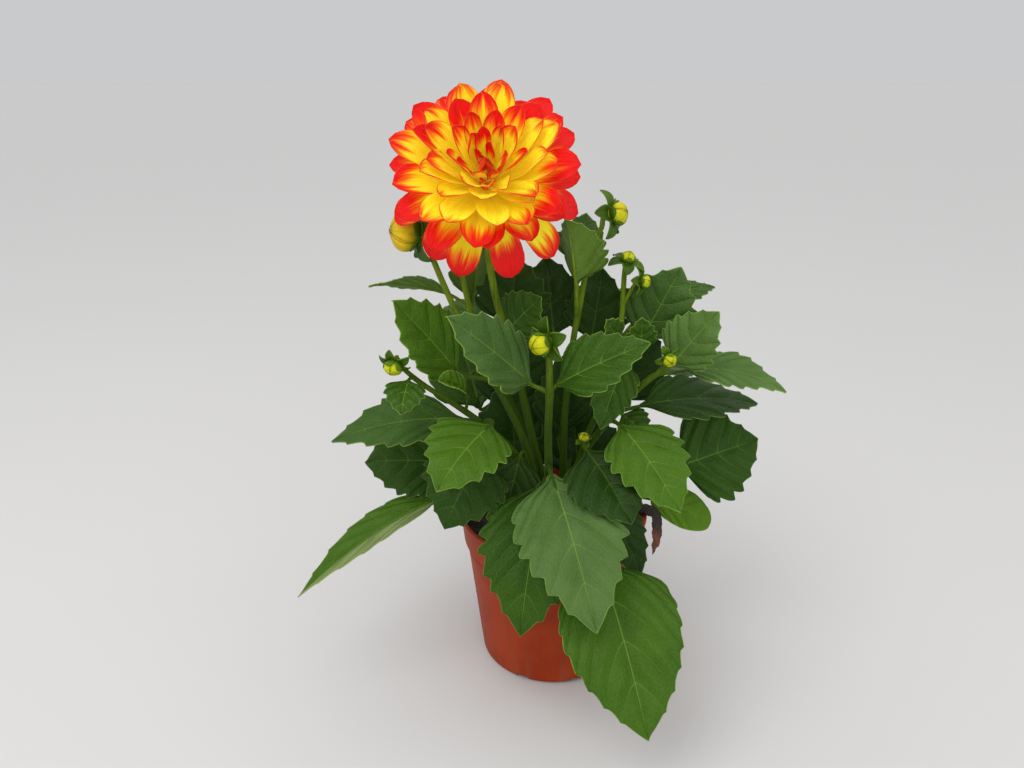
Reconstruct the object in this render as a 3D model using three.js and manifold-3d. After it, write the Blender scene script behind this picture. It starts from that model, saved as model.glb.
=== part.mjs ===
// A dahlia in a round nursery pot. Ten leafy stems rise from the potting soil with toothed leaves, one
// large double bloom and closed or half-open buds. Millimetres, +Z up, origin at the centre of the pot's
// flat base, +Y away from the side that the bloom faces.
import * as THREE from "three";
import { mergeVertices } from "three/addons/utils/BufferGeometryUtils.js";
import Module from "manifold-3d";

const wasm = await Module();
wasm.setup();

// Pot
const potHeight = 110;
const potRimRadius = 65;
const potBandRadius = 62.4;
const potBandHeight = 90;
const potFootRadius = 46;
const potFootRound = 4;
const potWall = 1.8;
const potFloor = 2.4;
const potStep = 60.6;
const roundSides = 28;
const drainCount = 8;
const drainWidth = 9;
const drainHeight = 3.4;
const drainDepth = 16;

// How far a solid's surface may move when its needless facets are dropped
const slack = 0.06;

// Soil: it is kept clear of the pot's wall and floor by the gaps
const soilLevel = 99;
const soilBumps = 1.6;
const holeDepth = 26;
const seatGap = 0.3;
const soilWallGap = 1.6;
const soilFloorGap = 0.4;

// Stems
const stemSides = 6;
const stemSteps = 8;
const cupSides = 6;

// Leaf stalks: their thickness for the smallest leaf and for each mm of blade, and how they leave the stem
const stalkSides = 4;
const stalkLeast = 0.8;
const stalkPerWidth = 1 / 45;
const stalkOutward = 0.6;
const stalkUpward = 0.8;

// Leaf blades: how full their outline is, and where and how deep their teeth are
const bladeThickness = 1.0;
const bladeFullness = 0.75;
const bladeSoftness = 0.85;
const bladeFoot = 0.08;
const bladeShoulder = { share: 0.09, reach: 0.32 };
const ribShares = [0, 0.14, 0.32, 0.52, 0.74];
const plainFold = 9;
const plainTeeth = 4;
const toothStart = 0.2;
const toothEnd = 0.88;
const toothLean = 0.82;
const toothDepth = 0.1;
const veinSweep = 0.13;

// Buds: the outline of a small and of a large one's dome, as shares of its length and radius
const smallDome = { sides: 8, rings: [[0, 0.62], [0.4, 1], [0.8, 0.72]] };
const largeDome = { sides: 16, rings: [[0, 0.62], [0.25, 0.95], [0.55, 1], [0.82, 0.7]] };
const largeBud = 9;
const budGroove = 0.93;

// Bloom
const bloomCentre = new THREE.Vector3(-44, -20, 338);
const bloomAxis = new THREE.Vector3(0.02, -0.73, 0.68).normalize();
const bloomBack = 12;
const bloomCup = { radius: 10, bracts: 6, reach: 14 };
const petalThickness = 0.8;
const petalDroop = 22;
const petalMargin = [[0, 0.2], [0.42, 0.72], [0.86, 0.92]];
const coreRings = [[-11.7, 7], [-8, 11], [1, 9.5], [5, 4]];
const coreSides = 10;

// The bloom's petals from the outermost ring to the middle: how many, how steeply they rise from the
// bloom's plane, how far their tips are from its centre, their half width and the first one's direction.
const petalRings = [
  { count: 11, rise: -25, reach: 59, half: 10.5, turn: -106 },
  { count: 12, rise: 14, reach: 58, half: 10.5, turn: -93 },
  { count: 12, rise: 27, reach: 59, half: 10, turn: -68 },
  { count: 11, rise: 39, reach: 55, half: 9.5, turn: -88 },
  { count: 10, rise: 49, reach: 50, half: 9, turn: 90 },
  { count: 8, rise: 60, reach: 44, half: 7.4, turn: 70 },
  { count: 6, rise: 71, reach: 36, half: 5.8, turn: 100 },
  { count: 4, rise: 80, reach: 28, half: 4.4, turn: 60 },
];

const up = new THREE.Vector3(0, 0, 1);
const radians = THREE.MathUtils.degToRad;
const mix = THREE.MathUtils.lerp;
const at = (list) => new THREE.Vector3(...list);

// One entry for each stem: its route from the soil up, its radius at the soil and at the top, its leaves
// and its buds. A leaf's stalk leaves the stem at height `from` and carries the blade from `base` to `tip`.
// `bow` lifts the blade's middle, `face` is where its upper side looks, and `fold` lifts both its halves.
const plant = [
  {
    name: "stem_bloom",
    route: [
      [0, 2, 99], [-4, 1, 122], [-13, 0, 155], [-21, 1, 192],
      [-29, 2, 226], [-39, 3, 260], [-44, 2, 292], [-44, 0, 312],
    ],
    radius: [3.0, 2.2],
    bloom: true,
    leaves: [
      { from: 234, base: [-31, -6, 243], tip: [-11, -20, 268], width: 34, bow: 2, face: [0.1, -0.8, 0.6] },
      {
        from: 212, base: [-30, 24, 236], tip: [-26, 24, 284],
        width: 50, bow: 3, face: [0, -0.85, 0.5], teeth: 3,
      },
    ],
    buds: [],
  },
  {
    name: "stem_left_bud",
    route: [
      [-9, -5, 99], [-11, -6, 122], [-20, -8, 163], [-34, -7, 195],
      [-62, -6, 249], [-77, -5, 285], [-82, 0, 297],
    ],
    radius: [2.9, 1.8],
    leaves: [
      {
        from: 206, base: [-64, -15, 217], tip: [-100, -40, 271],
        width: 46, bow: 3, face: [0.2, -0.7, 0.68], fold: 12,
      },
    ],
    buds: [{
      seat: [-88, 3, 304], axis: [-0.9, -0.35, 0.1],
      radius: 12.5, length: 18, bracts: 5, reach: 17,
    }],
  },
  {
    name: "stem_hidden_bud",
    route: [
      [-8, 6, 99], [-9, 7, 122], [-14, 8, 152], [-27, 12, 180],
      [-42, 14, 215], [-55, 14, 245], [-64, 16, 285],
    ],
    radius: [2.8, 1.7],
    leaves: [
      { from: 248, base: [-70, 20, 259], tip: [-122, 10, 267], width: 34, bow: 4, face: [0, 0.45, 0.9] },
      {
        from: 236, base: [-56, 34, 250], tip: [-50, 36, 290],
        width: 42, bow: 7, face: [0, 0.2, 0.98], teeth: 3,
      },
    ],
    buds: [{ seat: [-67, 24, 300], axis: [-0.3, 0.6, 0.75], radius: 7, length: 11, bracts: 5, reach: 12 }],
  },
  {
    name: "stem_front_bud",
    route: [
      [-1, -12, 99], [-2, -18, 118], [-5, -34, 142], [-6, -45, 166],
      [-7, -55, 194], [-7, -64, 222], [-8, -71, 250],
    ],
    radius: [3.0, 2.0],
    leaves: [
      {
        from: 221, base: [-18, -63, 227], tip: [-64, -92, 276],
        width: 41, bow: 3, face: [0.15, -0.72, 0.68], fold: 14,
      },
      {
        from: 222, base: [-3, -65, 227], tip: [49, -72, 255],
        width: 38, bow: 3, face: [-0.25, -0.7, 0.67], fold: 16,
      },
      { from: 162, base: [-5, -62, 167], tip: [18, -135, 106], width: 66, bow: 8, face: [0, -0.5, 0.87] },
      {
        from: 152, base: [-9, -52, 157], tip: [-24, -98, 76],
        width: 64, bow: 8, face: [-0.15, -0.78, 0.61],
      },
    ],
    buds: [{
      seat: [-10, -75, 257], axis: [-0.7, -0.65, -0.15],
      radius: 6.5, length: 11, bracts: 5, reach: 12,
    }],
  },
  {
    name: "stem_low_left_bud",
    route: [
      [-9, -16, 99], [-11, -18, 122], [-17, -21, 147], [-29, -25, 167],
      [-47, -28, 186], [-67, -32, 203], [-86, -36, 218], [-97, -40, 230],
    ],
    radius: [2.9, 1.5],
    leaves: [
      {
        from: 186, base: [-42, -50, 195], tip: [-72, -95, 173],
        width: 52, bow: 6, face: [-0.1, -0.6, 0.8],
      },
      {
        from: 180, base: [-61, -19, 186], tip: [-145, -30, 175],
        width: 42, bow: 8, face: [0, -0.45, 0.89],
      },
      {
        from: 220, base: [-92, -43, 222], tip: [-95, -62, 207],
        width: 25, bow: 3, face: [0, -0.85, 0.5], teeth: 3,
      },
      {
        from: 118, base: [-24, -34, 166], tip: [-34, -48, 126],
        width: 36, bow: 2, face: [-0.1, -0.8, 0.6], teeth: 3,
      },
      { from: 150, base: [-72, 4, 144], tip: [-130, 0, 146], width: 54, bow: 5, face: [-0.1, -0.75, 0.65] },
      {
        from: 128, base: [-76, -15, 127], tip: [-168, -60, 78],
        width: 30, bow: 10, face: [0.1, -0.2, 0.97], fold: 25,
      },
      {
        from: 158, base: [-48, -33, 165], tip: [-71, -61, 129],
        width: 56, bow: 8, face: [-0.1, -0.7, 0.7],
      },
      {
        from: 196, base: [-58, -43, 214], tip: [-73, -52, 225],
        width: 20, bow: 2, face: [0, -0.6, 0.8], fold: 50, teeth: 0,
      },
    ],
    buds: [{
      seat: [-100, -43, 233], axis: [-0.25, -0.7, -0.6],
      radius: 5.5, length: 8, bracts: 5, reach: 9,
    }],
  },
  {
    name: "stem_right_bud",
    route: [
      [8, 8, 99], [7, 8, 130], [7, 8, 174], [11, 11, 224],
      [16, 12, 258], [22, 11, 291], [28, 10, 306],
    ],
    radius: [2.8, 1.7],
    leaves: [
      {
        from: 246, base: [12, 4, 270], tip: [4, 0, 313],
        width: 46, bow: 2, face: [0.64, 0.77, 0.2], fold: 40,
      },
      {
        from: 256, base: [14, 36, 276], tip: [21, 44, 309],
        width: 34, bow: 2, face: [0, -0.9, 0.4], teeth: 3,
      },
      {
        from: 200, base: [0, 36, 225], tip: [-6, 44, 280],
        width: 50, bow: 3, face: [0, -0.9, 0.4], teeth: 3,
      },
      {
        from: 190, base: [26, 36, 222], tip: [32, 34, 274],
        width: 44, bow: 3, face: [0, -0.9, 0.4], teeth: 3,
      },
      {
        from: 142, base: [4, 20, 158], tip: [9, 19, 220],
        width: 40, bow: 3, face: [0, -0.95, 0.3], teeth: 3,
      },
    ],
    buds: [{
      seat: [34, 8, 314], axis: [0.85, -0.45, 0.25],
      radius: 7.5, length: 10, bracts: 5, reach: 14,
    }],
  },
  {
    name: "stem_right_pair",
    route: [
      [13, 0, 99], [14, 0, 125], [21, 1, 162], [35, 3, 198],
      [42, 6, 239], [43, 7, 262], [43, 7, 274],
    ],
    radius: [2.8, 1.7],
    leaves: [
      { from: 214, base: [58, 15, 230], tip: [79, 5, 281], width: 50, bow: 2, face: [0.1, -0.8, 0.6] },
      { from: 228, base: [70, 30, 250], tip: [110, 40, 259], width: 28, bow: 4, face: [0, -0.3, 0.95] },
      {
        from: 226, base: [38, -12, 237], tip: [29, -28, 256],
        width: 18, bow: 1, face: [0, -0.85, 0.5], teeth: 3,
      },
      {
        from: 220, base: [54, -6, 230], tip: [53, -13, 253],
        width: 20, bow: 1, face: [0, -0.85, 0.5], teeth: 3,
      },
      {
        from: 210, base: [44, -14, 224], tip: [26, -45, 190],
        width: 30, bow: 5, face: [-0.3, -0.85, 0.4], teeth: 4,
      },
      { from: 135, base: [86, 5, 140], tip: [142, 12, 158], width: 66, bow: 4, face: [0, -0.85, 0.5] },
      {
        from: 110, base: [70, 10, 112], tip: [111, 0, 98],
        width: 30, bow: 5, face: [0, -0.6, 0.8], teeth: 0,
      },
    ],
    buds: [
      { seat: [44, 4, 285], axis: [0.2, -0.3, 0.9], radius: 4.5, length: 7, bracts: 5, reach: 11 },
      { seat: [53, 0, 273], axis: [0.85, -0.45, 0.1], radius: 4.2, length: 6, bracts: 5, reach: 9, from: 255 },
    ],
  },
  {
    name: "stem_low_right_bud",
    route: [
      [9, -10, 99], [10, -13, 125], [15, -21, 156], [31, -25, 185],
      [52, -28, 212], [62, -30, 222], [66, -31, 229],
    ],
    radius: [2.9, 1.5],
    leaves: [
      { from: 214, base: [73, -15, 222], tip: [97, -28, 261], width: 38, bow: 2, face: [-0.1, -0.8, 0.6] },
      { from: 208, base: [84, -4, 214], tip: [145, -25, 207], width: 34, bow: 8, face: [0, -0.35, 0.94] },
      { from: 183, base: [56, -6, 190], tip: [140, 15, 183], width: 44, bow: 6, face: [0, -0.35, 0.94] },
      { from: 178, base: [37, -50, 195], tip: [68, -96, 160], width: 50, bow: 5, face: [0.1, -0.6, 0.8] },
      { from: 165, base: [17, -55, 180], tip: [40, -97, 153], width: 52, bow: 5, face: [0.1, -0.78, 0.61] },
      { from: 130, base: [27, -44, 140], tip: [54, -62, 96], width: 34, bow: 5, face: [0.2, -0.8, 0.55] },
      {
        from: 120, base: [24, -78, 119], tip: [49, -145, 40],
        width: 73, bow: 8, face: [0.05, -0.75, 0.66],
      },
      {
        from: 176, base: [44, -6, 184], tip: [61, -17, 170],
        width: 24, bow: 3, face: [0, -0.7, 0.7], teeth: 3,
      },
    ],
    buds: [
      { seat: [67, -33, 233], axis: [0.2, -0.9, -0.2], radius: 4.2, length: 7, bracts: 4, reach: 7 },
      { seat: [17, -31, 177], axis: [0, -0.6, 0.8], radius: 3.2, length: 6, bracts: 4, reach: 5, from: 160 },
    ],
  },
  {
    name: "stem_back_left",
    route: [[-6, 16, 99], [-8, 20, 122], [-16, 36, 160], [-28, 50, 200], [-34, 56, 222]],
    radius: [2.7, 1.4],
    leaves: [
      {
        from: 214, base: [-36, 78, 226], tip: [-30, 124, 232],
        width: 44, bow: 8, face: [0, 0.3, 0.95], teeth: 3,
      },
      {
        from: 218, base: [-46, 52, 230], tip: [-84, 58, 236],
        width: 36, bow: 5, face: [0, -0.2, 0.98], teeth: 3,
      },
      {
        from: 182, base: [-53, 51, 166], tip: [-70, 56, 226],
        width: 60, bow: 8, face: [0.1, -0.85, 0.5], teeth: 3,
      },
      {
        from: 178, base: [-28, 70, 176], tip: [-40, 126, 160],
        width: 50, bow: 10, face: [0, 0.2, 0.98], teeth: 3,
      },
      {
        from: 112, base: [-26, 36, 116], tip: [-30, 30, 198],
        width: 60, bow: 3, face: [0, -0.92, 0.4], teeth: 3,
      },
      {
        from: 128, base: [-24, 62, 126], tip: [-36, 112, 96],
        width: 46, bow: 8, face: [0, 0.3, 0.95], teeth: 3,
      },
      {
        from: 156, base: [-31, 34, 168], tip: [-21, 31, 232],
        width: 56, bow: 3, face: [0, -0.92, 0.4], teeth: 3,
      },
    ],
    buds: [],
  },
  {
    name: "stem_back_right",
    route: [[6, 18, 99], [9, 23, 122], [20, 40, 160], [34, 54, 200], [40, 60, 222]],
    radius: [2.7, 1.4],
    leaves: [
      {
        from: 214, base: [44, 80, 226], tip: [48, 126, 234],
        width: 44, bow: 8, face: [0, 0.3, 0.95], teeth: 3,
      },
      {
        from: 218, base: [54, 56, 230], tip: [96, 66, 236],
        width: 38, bow: 5, face: [0, -0.1, 0.99], teeth: 3,
      },
      { from: 184, base: [64, 60, 188], tip: [120, 80, 176], width: 46, bow: 8, face: [0, 0, 1], teeth: 3 },
      {
        from: 178, base: [32, 76, 176], tip: [38, 130, 160],
        width: 50, bow: 10, face: [0, 0.2, 0.98], teeth: 3,
      },
      {
        from: 112, base: [20, 32, 118], tip: [12, 26, 194],
        width: 58, bow: 3, face: [0, -0.92, 0.4], teeth: 3,
      },
      {
        from: 128, base: [26, 66, 124], tip: [30, 116, 94],
        width: 46, bow: 8, face: [0, 0.3, 0.95], teeth: 3,
      },
      {
        from: 156, base: [44, 38, 176], tip: [66, 36, 234],
        width: 56, bow: 3, face: [0, -0.92, 0.4], teeth: 3,
      },
    ],
    buds: [],
  },
];

// A dead leaf that hangs over the rim on the right: points along it and its half width at each.
const deadLeafRoute = [
  [[52, 0, 103], 3], [[58, -2, 111], 4.5], [[64, -4, 113.5], 6.5], [[71, -8, 111], 7], [[73, -11, 101], 7],
  [[72, -13, 91], 4.5], [[69, -15, 82], 0],
];
const deadLeafCurl = 0.2;
const deadLeafTwist = 55;
const deadLeafThickness = 1.2;

// A closed three.js geometry as a solid, and back.
function toSolid(geometry) {
  const bare = new THREE.BufferGeometry();
  bare.setAttribute("position", geometry.getAttribute("position"));
  if (geometry.index) bare.setIndex(geometry.index);
  const merged = mergeVertices(bare, 1e-4);
  return new wasm.Manifold(
    new wasm.Mesh({
      numProp: 3,
      vertProperties: merged.attributes.position.array,
      triVerts: new Uint32Array(merged.index.array),
    }),
  );
}

function toGeometry(solid) {
  const mesh = solid.getMesh();
  const corners = new Float32Array(mesh.numVert * 3);
  for (let i = 0; i < mesh.numVert; i += 1) {
    corners.set(mesh.vertProperties.subarray(i * mesh.numProp, i * mesh.numProp + 3), i * 3);
  }
  const geometry = new THREE.BufferGeometry();
  geometry.setAttribute("position", new THREE.BufferAttribute(corners, 3));
  geometry.setIndex(new THREE.BufferAttribute(new Uint32Array(mesh.triVerts), 1));
  geometry.computeVertexNormals();
  return geometry;
}

function facetSolid(points, faces) {
  const geometry = new THREE.BufferGeometry();
  const corners = new Float32Array(points.flatMap((point) => point.toArray()));
  geometry.setAttribute("position", new THREE.BufferAttribute(corners, 3));
  geometry.setIndex(faces.flat());
  return toSolid(geometry);
}

const fuse = (solids) => wasm.Manifold.union(solids);

// One body without the needless tiny facets that a union leaves. A second pass takes those that the first
// one makes.
function tidied(solid) {
  const slim = solid.asOriginal().simplify(slack).asOriginal().simplify(slack);
  return slim.decompose().reduce((best, piece) => (piece.volume() > best.volume() ? piece : best));
}

// A round rod through the given points, with a radius at each.
function rod(points, radii, sides) {
  const corners = [];
  const faces = [];
  const start = points[1].clone().sub(points[0]).normalize();
  let side = Math.abs(start.x) > 0.9 ? at([0, 1, 0]) : at([1, 0, 0]);
  points.forEach((point, i) => {
    const before = points[Math.max(i - 1, 0)];
    const along = points[Math.min(i + 1, points.length - 1)].clone().sub(before).normalize();
    side = side.clone().addScaledVector(along, -side.dot(along)).normalize();
    const third = along.clone().cross(side);
    for (let k = 0; k < sides; k += 1) {
      const turn = (2 * Math.PI * k) / sides;
      const out = side.clone().multiplyScalar(Math.cos(turn)).addScaledVector(third, Math.sin(turn));
      corners.push(point.clone().addScaledVector(out, radii[i]));
    }
  });
  const last = (points.length - 1) * sides;
  for (let i = 0; i < last; i += sides) {
    for (let k = 0; k < sides; k += 1) {
      const a = i + k;
      const b = i + ((k + 1) % sides);
      faces.push([a, b, b + sides], [a, b + sides, a + sides]);
    }
  }
  for (let k = 1; k + 1 < sides; k += 1) {
    faces.push([0, k + 1, k], [last, last + k, last + k + 1]);
  }
  return facetSolid(corners, faces);
}

// A thin solid from a surface of triangles whose corners know where their upper side looks.
function thicken(corners, triangles, thickness) {
  const points = corners.flatMap(({ point, normal }) => [
    point.clone().addScaledVector(normal, thickness / 2),
    point.clone().addScaledVector(normal, -thickness / 2),
  ]);
  const faces = [];
  const edges = new Set();
  for (const [a, b, c] of triangles) {
    faces.push([2 * a, 2 * b, 2 * c], [2 * a + 1, 2 * c + 1, 2 * b + 1]);
    for (const edge of [[a, b], [b, c], [c, a]]) edges.add(edge.join());
  }
  for (const edge of edges) {
    const [a, b] = edge.split(",").map(Number);
    if (!edges.has([b, a].join())) {
      faces.push([2 * b, 2 * a, 2 * a + 1], [2 * b, 2 * a + 1, 2 * b + 1]);
    }
  }
  return facetSolid(points, faces);
}

// The triangles between two lines of corners that run side by side. Each is a list of [index, share].
function strip(left, right) {
  const triangles = [];
  let i = 0;
  let j = 0;
  while (i + 1 < left.length || j + 1 < right.length) {
    const leftFirst = i + 1 < left.length && left[i + 1][1] <= right[j + 1]?.[1];
    const goLeft = j + 1 === right.length || leftFirst;
    const next = goLeft ? left[i + 1][0] : right[j + 1][0];
    if (next !== left[i][0] && next !== right[j][0]) triangles.push([left[i][0], right[j][0], next]);
    if (goLeft) i += 1;
    else j += 1;
  }
  return triangles;
}

// A blade or petal from its two margins and the rib between them, which all end in the same tip.
function bladeSolid(left, rib, right, tip, thickness) {
  const corners = [tip];
  const numbered = ({ share, ...corner }) => {
    corners.push(corner);
    return [corners.length - 1, share];
  };
  const [a, b, c] = [left, rib, right].map((line) => [...line.map(numbered), [0, 1]]);
  return thicken(corners, [...strip(a, b), ...strip(b, c)], thickness);
}

// The point of a stem's centreline at a height.
function stemPoint(stem, height) {
  const miss = (point) => Math.abs(point.z - height);
  return stem.curve.getSpacedPoints(200).reduce((best, point) => (miss(point) < miss(best) ? point : best));
}

function stemRod(stem) {
  const [thick, thin] = stem.radius;
  const points = stem.curve.getSpacedPoints(stemSteps);
  const foot = points[0].clone().setZ(soilLevel - holeDepth);
  const collar = points[0].clone().setZ(soilLevel + soilBumps + 2);
  const radii = points.slice(1).map((_, i) => mix(thick, thin, (i + 1) / stemSteps));
  return rod([foot, collar, ...points.slice(1)], [thick, thick, ...radii], stemSides);
}

// A leaf's midrib from the foot of the blade to its tip, and its stalk from the stem to the blade.
function leafRib(leaf) {
  const base = at(leaf.base);
  const tip = at(leaf.tip);
  const middle = base.clone().lerp(tip, 0.5).addScaledVector(at(leaf.face).normalize(), 2 * leaf.bow);
  return new THREE.QuadraticBezierCurve3(base, middle, tip);
}

function leafStalk(stem, leaf, rib) {
  const root = stemPoint(stem, leaf.from);
  const base = at(leaf.base);
  const reach = root.distanceTo(base) / 3;
  const away = base.clone().sub(root).setZ(0).normalize();
  const leaving = root.clone().addScaledVector(away, stalkOutward * reach);
  leaving.z += stalkUpward * reach;
  const arriving = base.clone().addScaledVector(rib.getTangent(0), -reach);
  return new THREE.CubicBezierCurve3(root, leaving, arriving, base);
}

// How wide a blade is at a share of its length, as a share of its greatest width.
const bladeOutline = (share) => Math.sin(Math.PI * share ** bladeFullness) ** bladeSoftness;

// The margin's turning points: a notch, then the point of a tooth that leans towards the tip.
function marginPoints(teeth) {
  const points = [{ share: 0, reach: bladeFoot }, bladeShoulder];
  const pitch = (toothEnd - toothStart) / teeth;
  for (let i = 0; i < teeth; i += 1) {
    const notch = toothStart + i * pitch;
    const point = notch + toothLean * pitch;
    points.push({ share: notch, reach: bladeOutline(notch) * (1 - toothDepth) });
    points.push({ share: point, reach: bladeOutline(point - 0.2 * pitch) * (1 + toothDepth / 2) });
  }
  points.push({ share: toothEnd, reach: bladeOutline(toothEnd) * (1 - toothDepth) });
  return points;
}

// The margin of a leaf with a smooth, rounded end.
const roundMargin = [
  { share: 0, reach: bladeFoot }, { share: 0.12, reach: 0.5 }, { share: 0.35, reach: 0.9 },
  { share: 0.62, reach: 1 }, { share: 0.84, reach: 0.8 }, { share: 0.96, reach: 0.4 },
];

function leafSolid(stem, leaf) {
  const rib = leafRib(leaf);
  const look = at(leaf.face);
  const fold = radians(leaf.fold ?? plainFold);
  const frame = (share) => {
    const along = rib.getTangent(share);
    const normal = look.clone().addScaledVector(along, -look.dot(along)).normalize();
    return { share, point: rib.getPoint(share), normal, side: along.clone().cross(normal) };
  };
  const teeth = leaf.teeth ?? plainTeeth;
  const edge = (way) => ({ share, reach }) => {
    const { point, normal, side } = frame(share);
    const half = (reach * leaf.width) / 2;
    point.addScaledVector(side, way * half * Math.cos(fold)).addScaledVector(normal, half * Math.sin(fold));
    const tilted = normal.clone().multiplyScalar(Math.cos(fold)).addScaledVector(side, -way * Math.sin(fold));
    return { share: share - veinSweep * 4 * share * (1 - share), point, normal: tilted };
  };
  const margin = teeth ? marginPoints(teeth) : roundMargin;
  const middle = ribShares.map(frame);
  const stalk = leafStalk(stem, leaf, rib);
  const stalkPoints = [stalk.getPoint(0), stalk.getPoint(0.5), rib.getPoint(0.07)];
  const thick = stalkLeast + leaf.width * stalkPerWidth;
  return fuse([
    bladeSolid(margin.map(edge(-1)), middle, margin.map(edge(1)), frame(1), bladeThickness),
    rod(stalkPoints, [thick, 0.85 * thick, 0.5 * thick], stalkSides),
  ]);
}

// Two directions square to an axis, the second one as far up as it can be.
function square(axis) {
  const side = axis.clone().cross(Math.abs(axis.z) > 0.95 ? at([0, 1, 0]) : up).normalize();
  return { side: side.negate(), third: side.clone().cross(axis).negate().normalize() };
}

function spoke({ side, third }, turn) {
  return side.clone().multiplyScalar(Math.cos(turn)).addScaledVector(third, Math.sin(turn));
}

// The green cup behind a bud or bloom, on the end of its stalk, with its pointed bracts bent back.
function cupSolid({ seat, axis, radius, bracts, reach }) {
  const cup = rod(
    [-0.6, -0.2, 0].map((share) => seat.clone().addScaledVector(axis, share * radius)),
    [0.25, 0.66, 0.74].map((share) => share * radius),
    cupSides,
  );
  const frame = square(axis);
  const place = (turn, along, back) =>
    seat.clone().addScaledVector(spoke(frame, turn), along).addScaledVector(axis, -0.12 * radius - back);
  const corners = [{ point: place(0, 0, 0), normal: axis }];
  const triangles = [];
  const points = 2 * bracts;
  for (let k = 0; k < points; k += 1) {
    const turn = (2 * Math.PI * (k + 0.6)) / points;
    const inner = place(turn, 0.8 * radius, 0);
    const outer = place(turn, 0.3 * radius + reach, 0.25 * reach);
    corners.push({ point: k % 2 ? inner : outer, normal: axis });
    triangles.push([0, k + 1, ((k + 1) % points) + 1]);
  }
  return fuse([cup, thicken(corners, triangles, bladeThickness)]);
}

// A bud's tight petals: a dome with lengthwise ridges, just clear of its cup.
function budSolid(bud) {
  const axis = at(bud.axis).normalize();
  const { sides, rings } = bud.radius > largeBud ? largeDome : smallDome;
  const foot = at(bud.seat).addScaledVector(axis, seatGap);
  const points = [];
  const faces = [];
  rings.forEach(([height, width], i) => {
    for (let k = 0; k < sides; k += 1) {
      const ridge = i > 0 && k % 2 ? budGroove : 1;
      const out = spoke(square(axis), (2 * Math.PI * (k + 0.5 * i)) / sides);
      const middle = foot.clone().addScaledVector(axis, height * bud.length);
      points.push(middle.addScaledVector(out, bud.radius * width * ridge));
    }
  });
  const last = (rings.length - 1) * sides;
  points.push(foot.clone().addScaledVector(axis, bud.length), foot);
  for (let k = 0; k < sides; k += 1) {
    const next = (k + 1) % sides;
    for (let i = 0; i < last; i += sides) {
      faces.push([i + k, i + next, i + k + sides], [i + next, i + next + sides, i + k + sides]);
    }
    faces.push([last + k, last + next, points.length - 2], [next, k, points.length - 1]);
  }
  return facetSolid(points, faces);
}

// A steady number from 0 to 1 for each whole number, so that repeats differ without chance.
function scatter(n) {
  const value = Math.sin(n * 12.9898 + 4.1) * 437.5453;
  return value - Math.floor(value);
}

// One petal. It runs from its foot on the core to its tip, arched outside and bent inwards in the middle.
function petalSolid(ring, depth, out, seed) {
  const across = out.clone().cross(bloomAxis);
  const low = Math.max(0, -out.dot(square(bloomAxis).third));
  const rise = radians(ring.rise + 10 * (scatter(seed) - 0.5) - petalDroop * depth * low);
  const reach = ring.reach * (1 + 0.1 * (scatter(seed + 100) - 0.5));
  const foot = new THREE.Vector2(mix(8, 1.5, depth), mix(-8, 1, depth));
  const tip = new THREE.Vector2(reach * Math.cos(rise), reach * Math.sin(rise));
  const chord = tip.clone().sub(foot);
  const bow = new THREE.Vector2(-chord.y, chord.x).normalize().multiplyScalar(mix(9, -2, depth));
  const spine = new THREE.QuadraticBezierCurve(foot, foot.clone().lerp(tip, 0.5).add(bow), tip);
  const corner = (share, sideways) => {
    const point = spine.getPoint(share);
    const along = spine.getTangent(share);
    const normal = bloomAxis.clone().multiplyScalar(along.x).addScaledVector(out, -along.y);
    const lift = Math.abs(sideways) * mix(0.2, 0.45, depth);
    return {
      share,
      normal,
      point: bloomCentre
        .clone()
        .addScaledVector(out, point.x)
        .addScaledVector(bloomAxis, point.y)
        .addScaledVector(across, sideways)
        .addScaledVector(normal, lift),
    };
  };
  const margin = (way) => petalMargin.map(([share, wide]) => corner(share, way * wide * ring.half));
  const rib = petalMargin.map(([share]) => corner(share, 0));
  return bladeSolid(margin(-1), rib, margin(1), corner(1, 0), petalThickness);
}

function bloomSolid() {
  const frame = square(bloomAxis);
  const corePoints = coreRings.map(([height]) => bloomCentre.clone().addScaledVector(bloomAxis, height));
  const petals = [];
  petalRings.forEach((ring, i) => {
    for (let k = 0; k < ring.count; k += 1) {
      const seed = i * 20 + k;
      const turn = ring.turn + (360 / ring.count) * (k + 0.3 * (scatter(seed + 200) - 0.5));
      petals.push(petalSolid(ring, i / (petalRings.length - 1), spoke(frame, radians(turn)), seed));
    }
  });
  const core = rod(corePoints, coreRings.map(([, radius]) => radius), coreSides);
  return fuse([core, ...petals]);
}

// The dead leaf lies on the rim, dry and curled.
function deadLeafSolid() {
  const places = deadLeafRoute.map(([place]) => at(place));
  const corners = deadLeafRoute.map(([, half], i) => {
    const before = places[Math.max(i - 1, 0)];
    const along = places[Math.min(i + 1, places.length - 1)].clone().sub(before).normalize();
    const twist = radians((deadLeafTwist * i) / (places.length - 1));
    const normal = at([Math.sin(twist), Math.cos(twist), 0]).cross(along).normalize();
    const across = along.clone().cross(normal);
    const corner = (way) => ({
      share: i / (places.length - 1),
      normal,
      point: places[i]
        .clone()
        .addScaledVector(across, way * half)
        .addScaledVector(normal, Math.abs(way) * half * deadLeafCurl),
    });
    return [-1, 0, 1].map(corner);
  });
  const tip = corners.pop()[1];
  const lines = [0, 1, 2].map((line) => corners.map((row) => row[line]));
  return bladeSolid(...lines, tip, deadLeafThickness);
}

function lathe(profile) {
  const outline = profile.map(([r, z]) => new THREE.Vector2(r, z));
  return new THREE.LatheGeometry(outline, roundSides).rotateX(Math.PI / 2);
}

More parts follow.
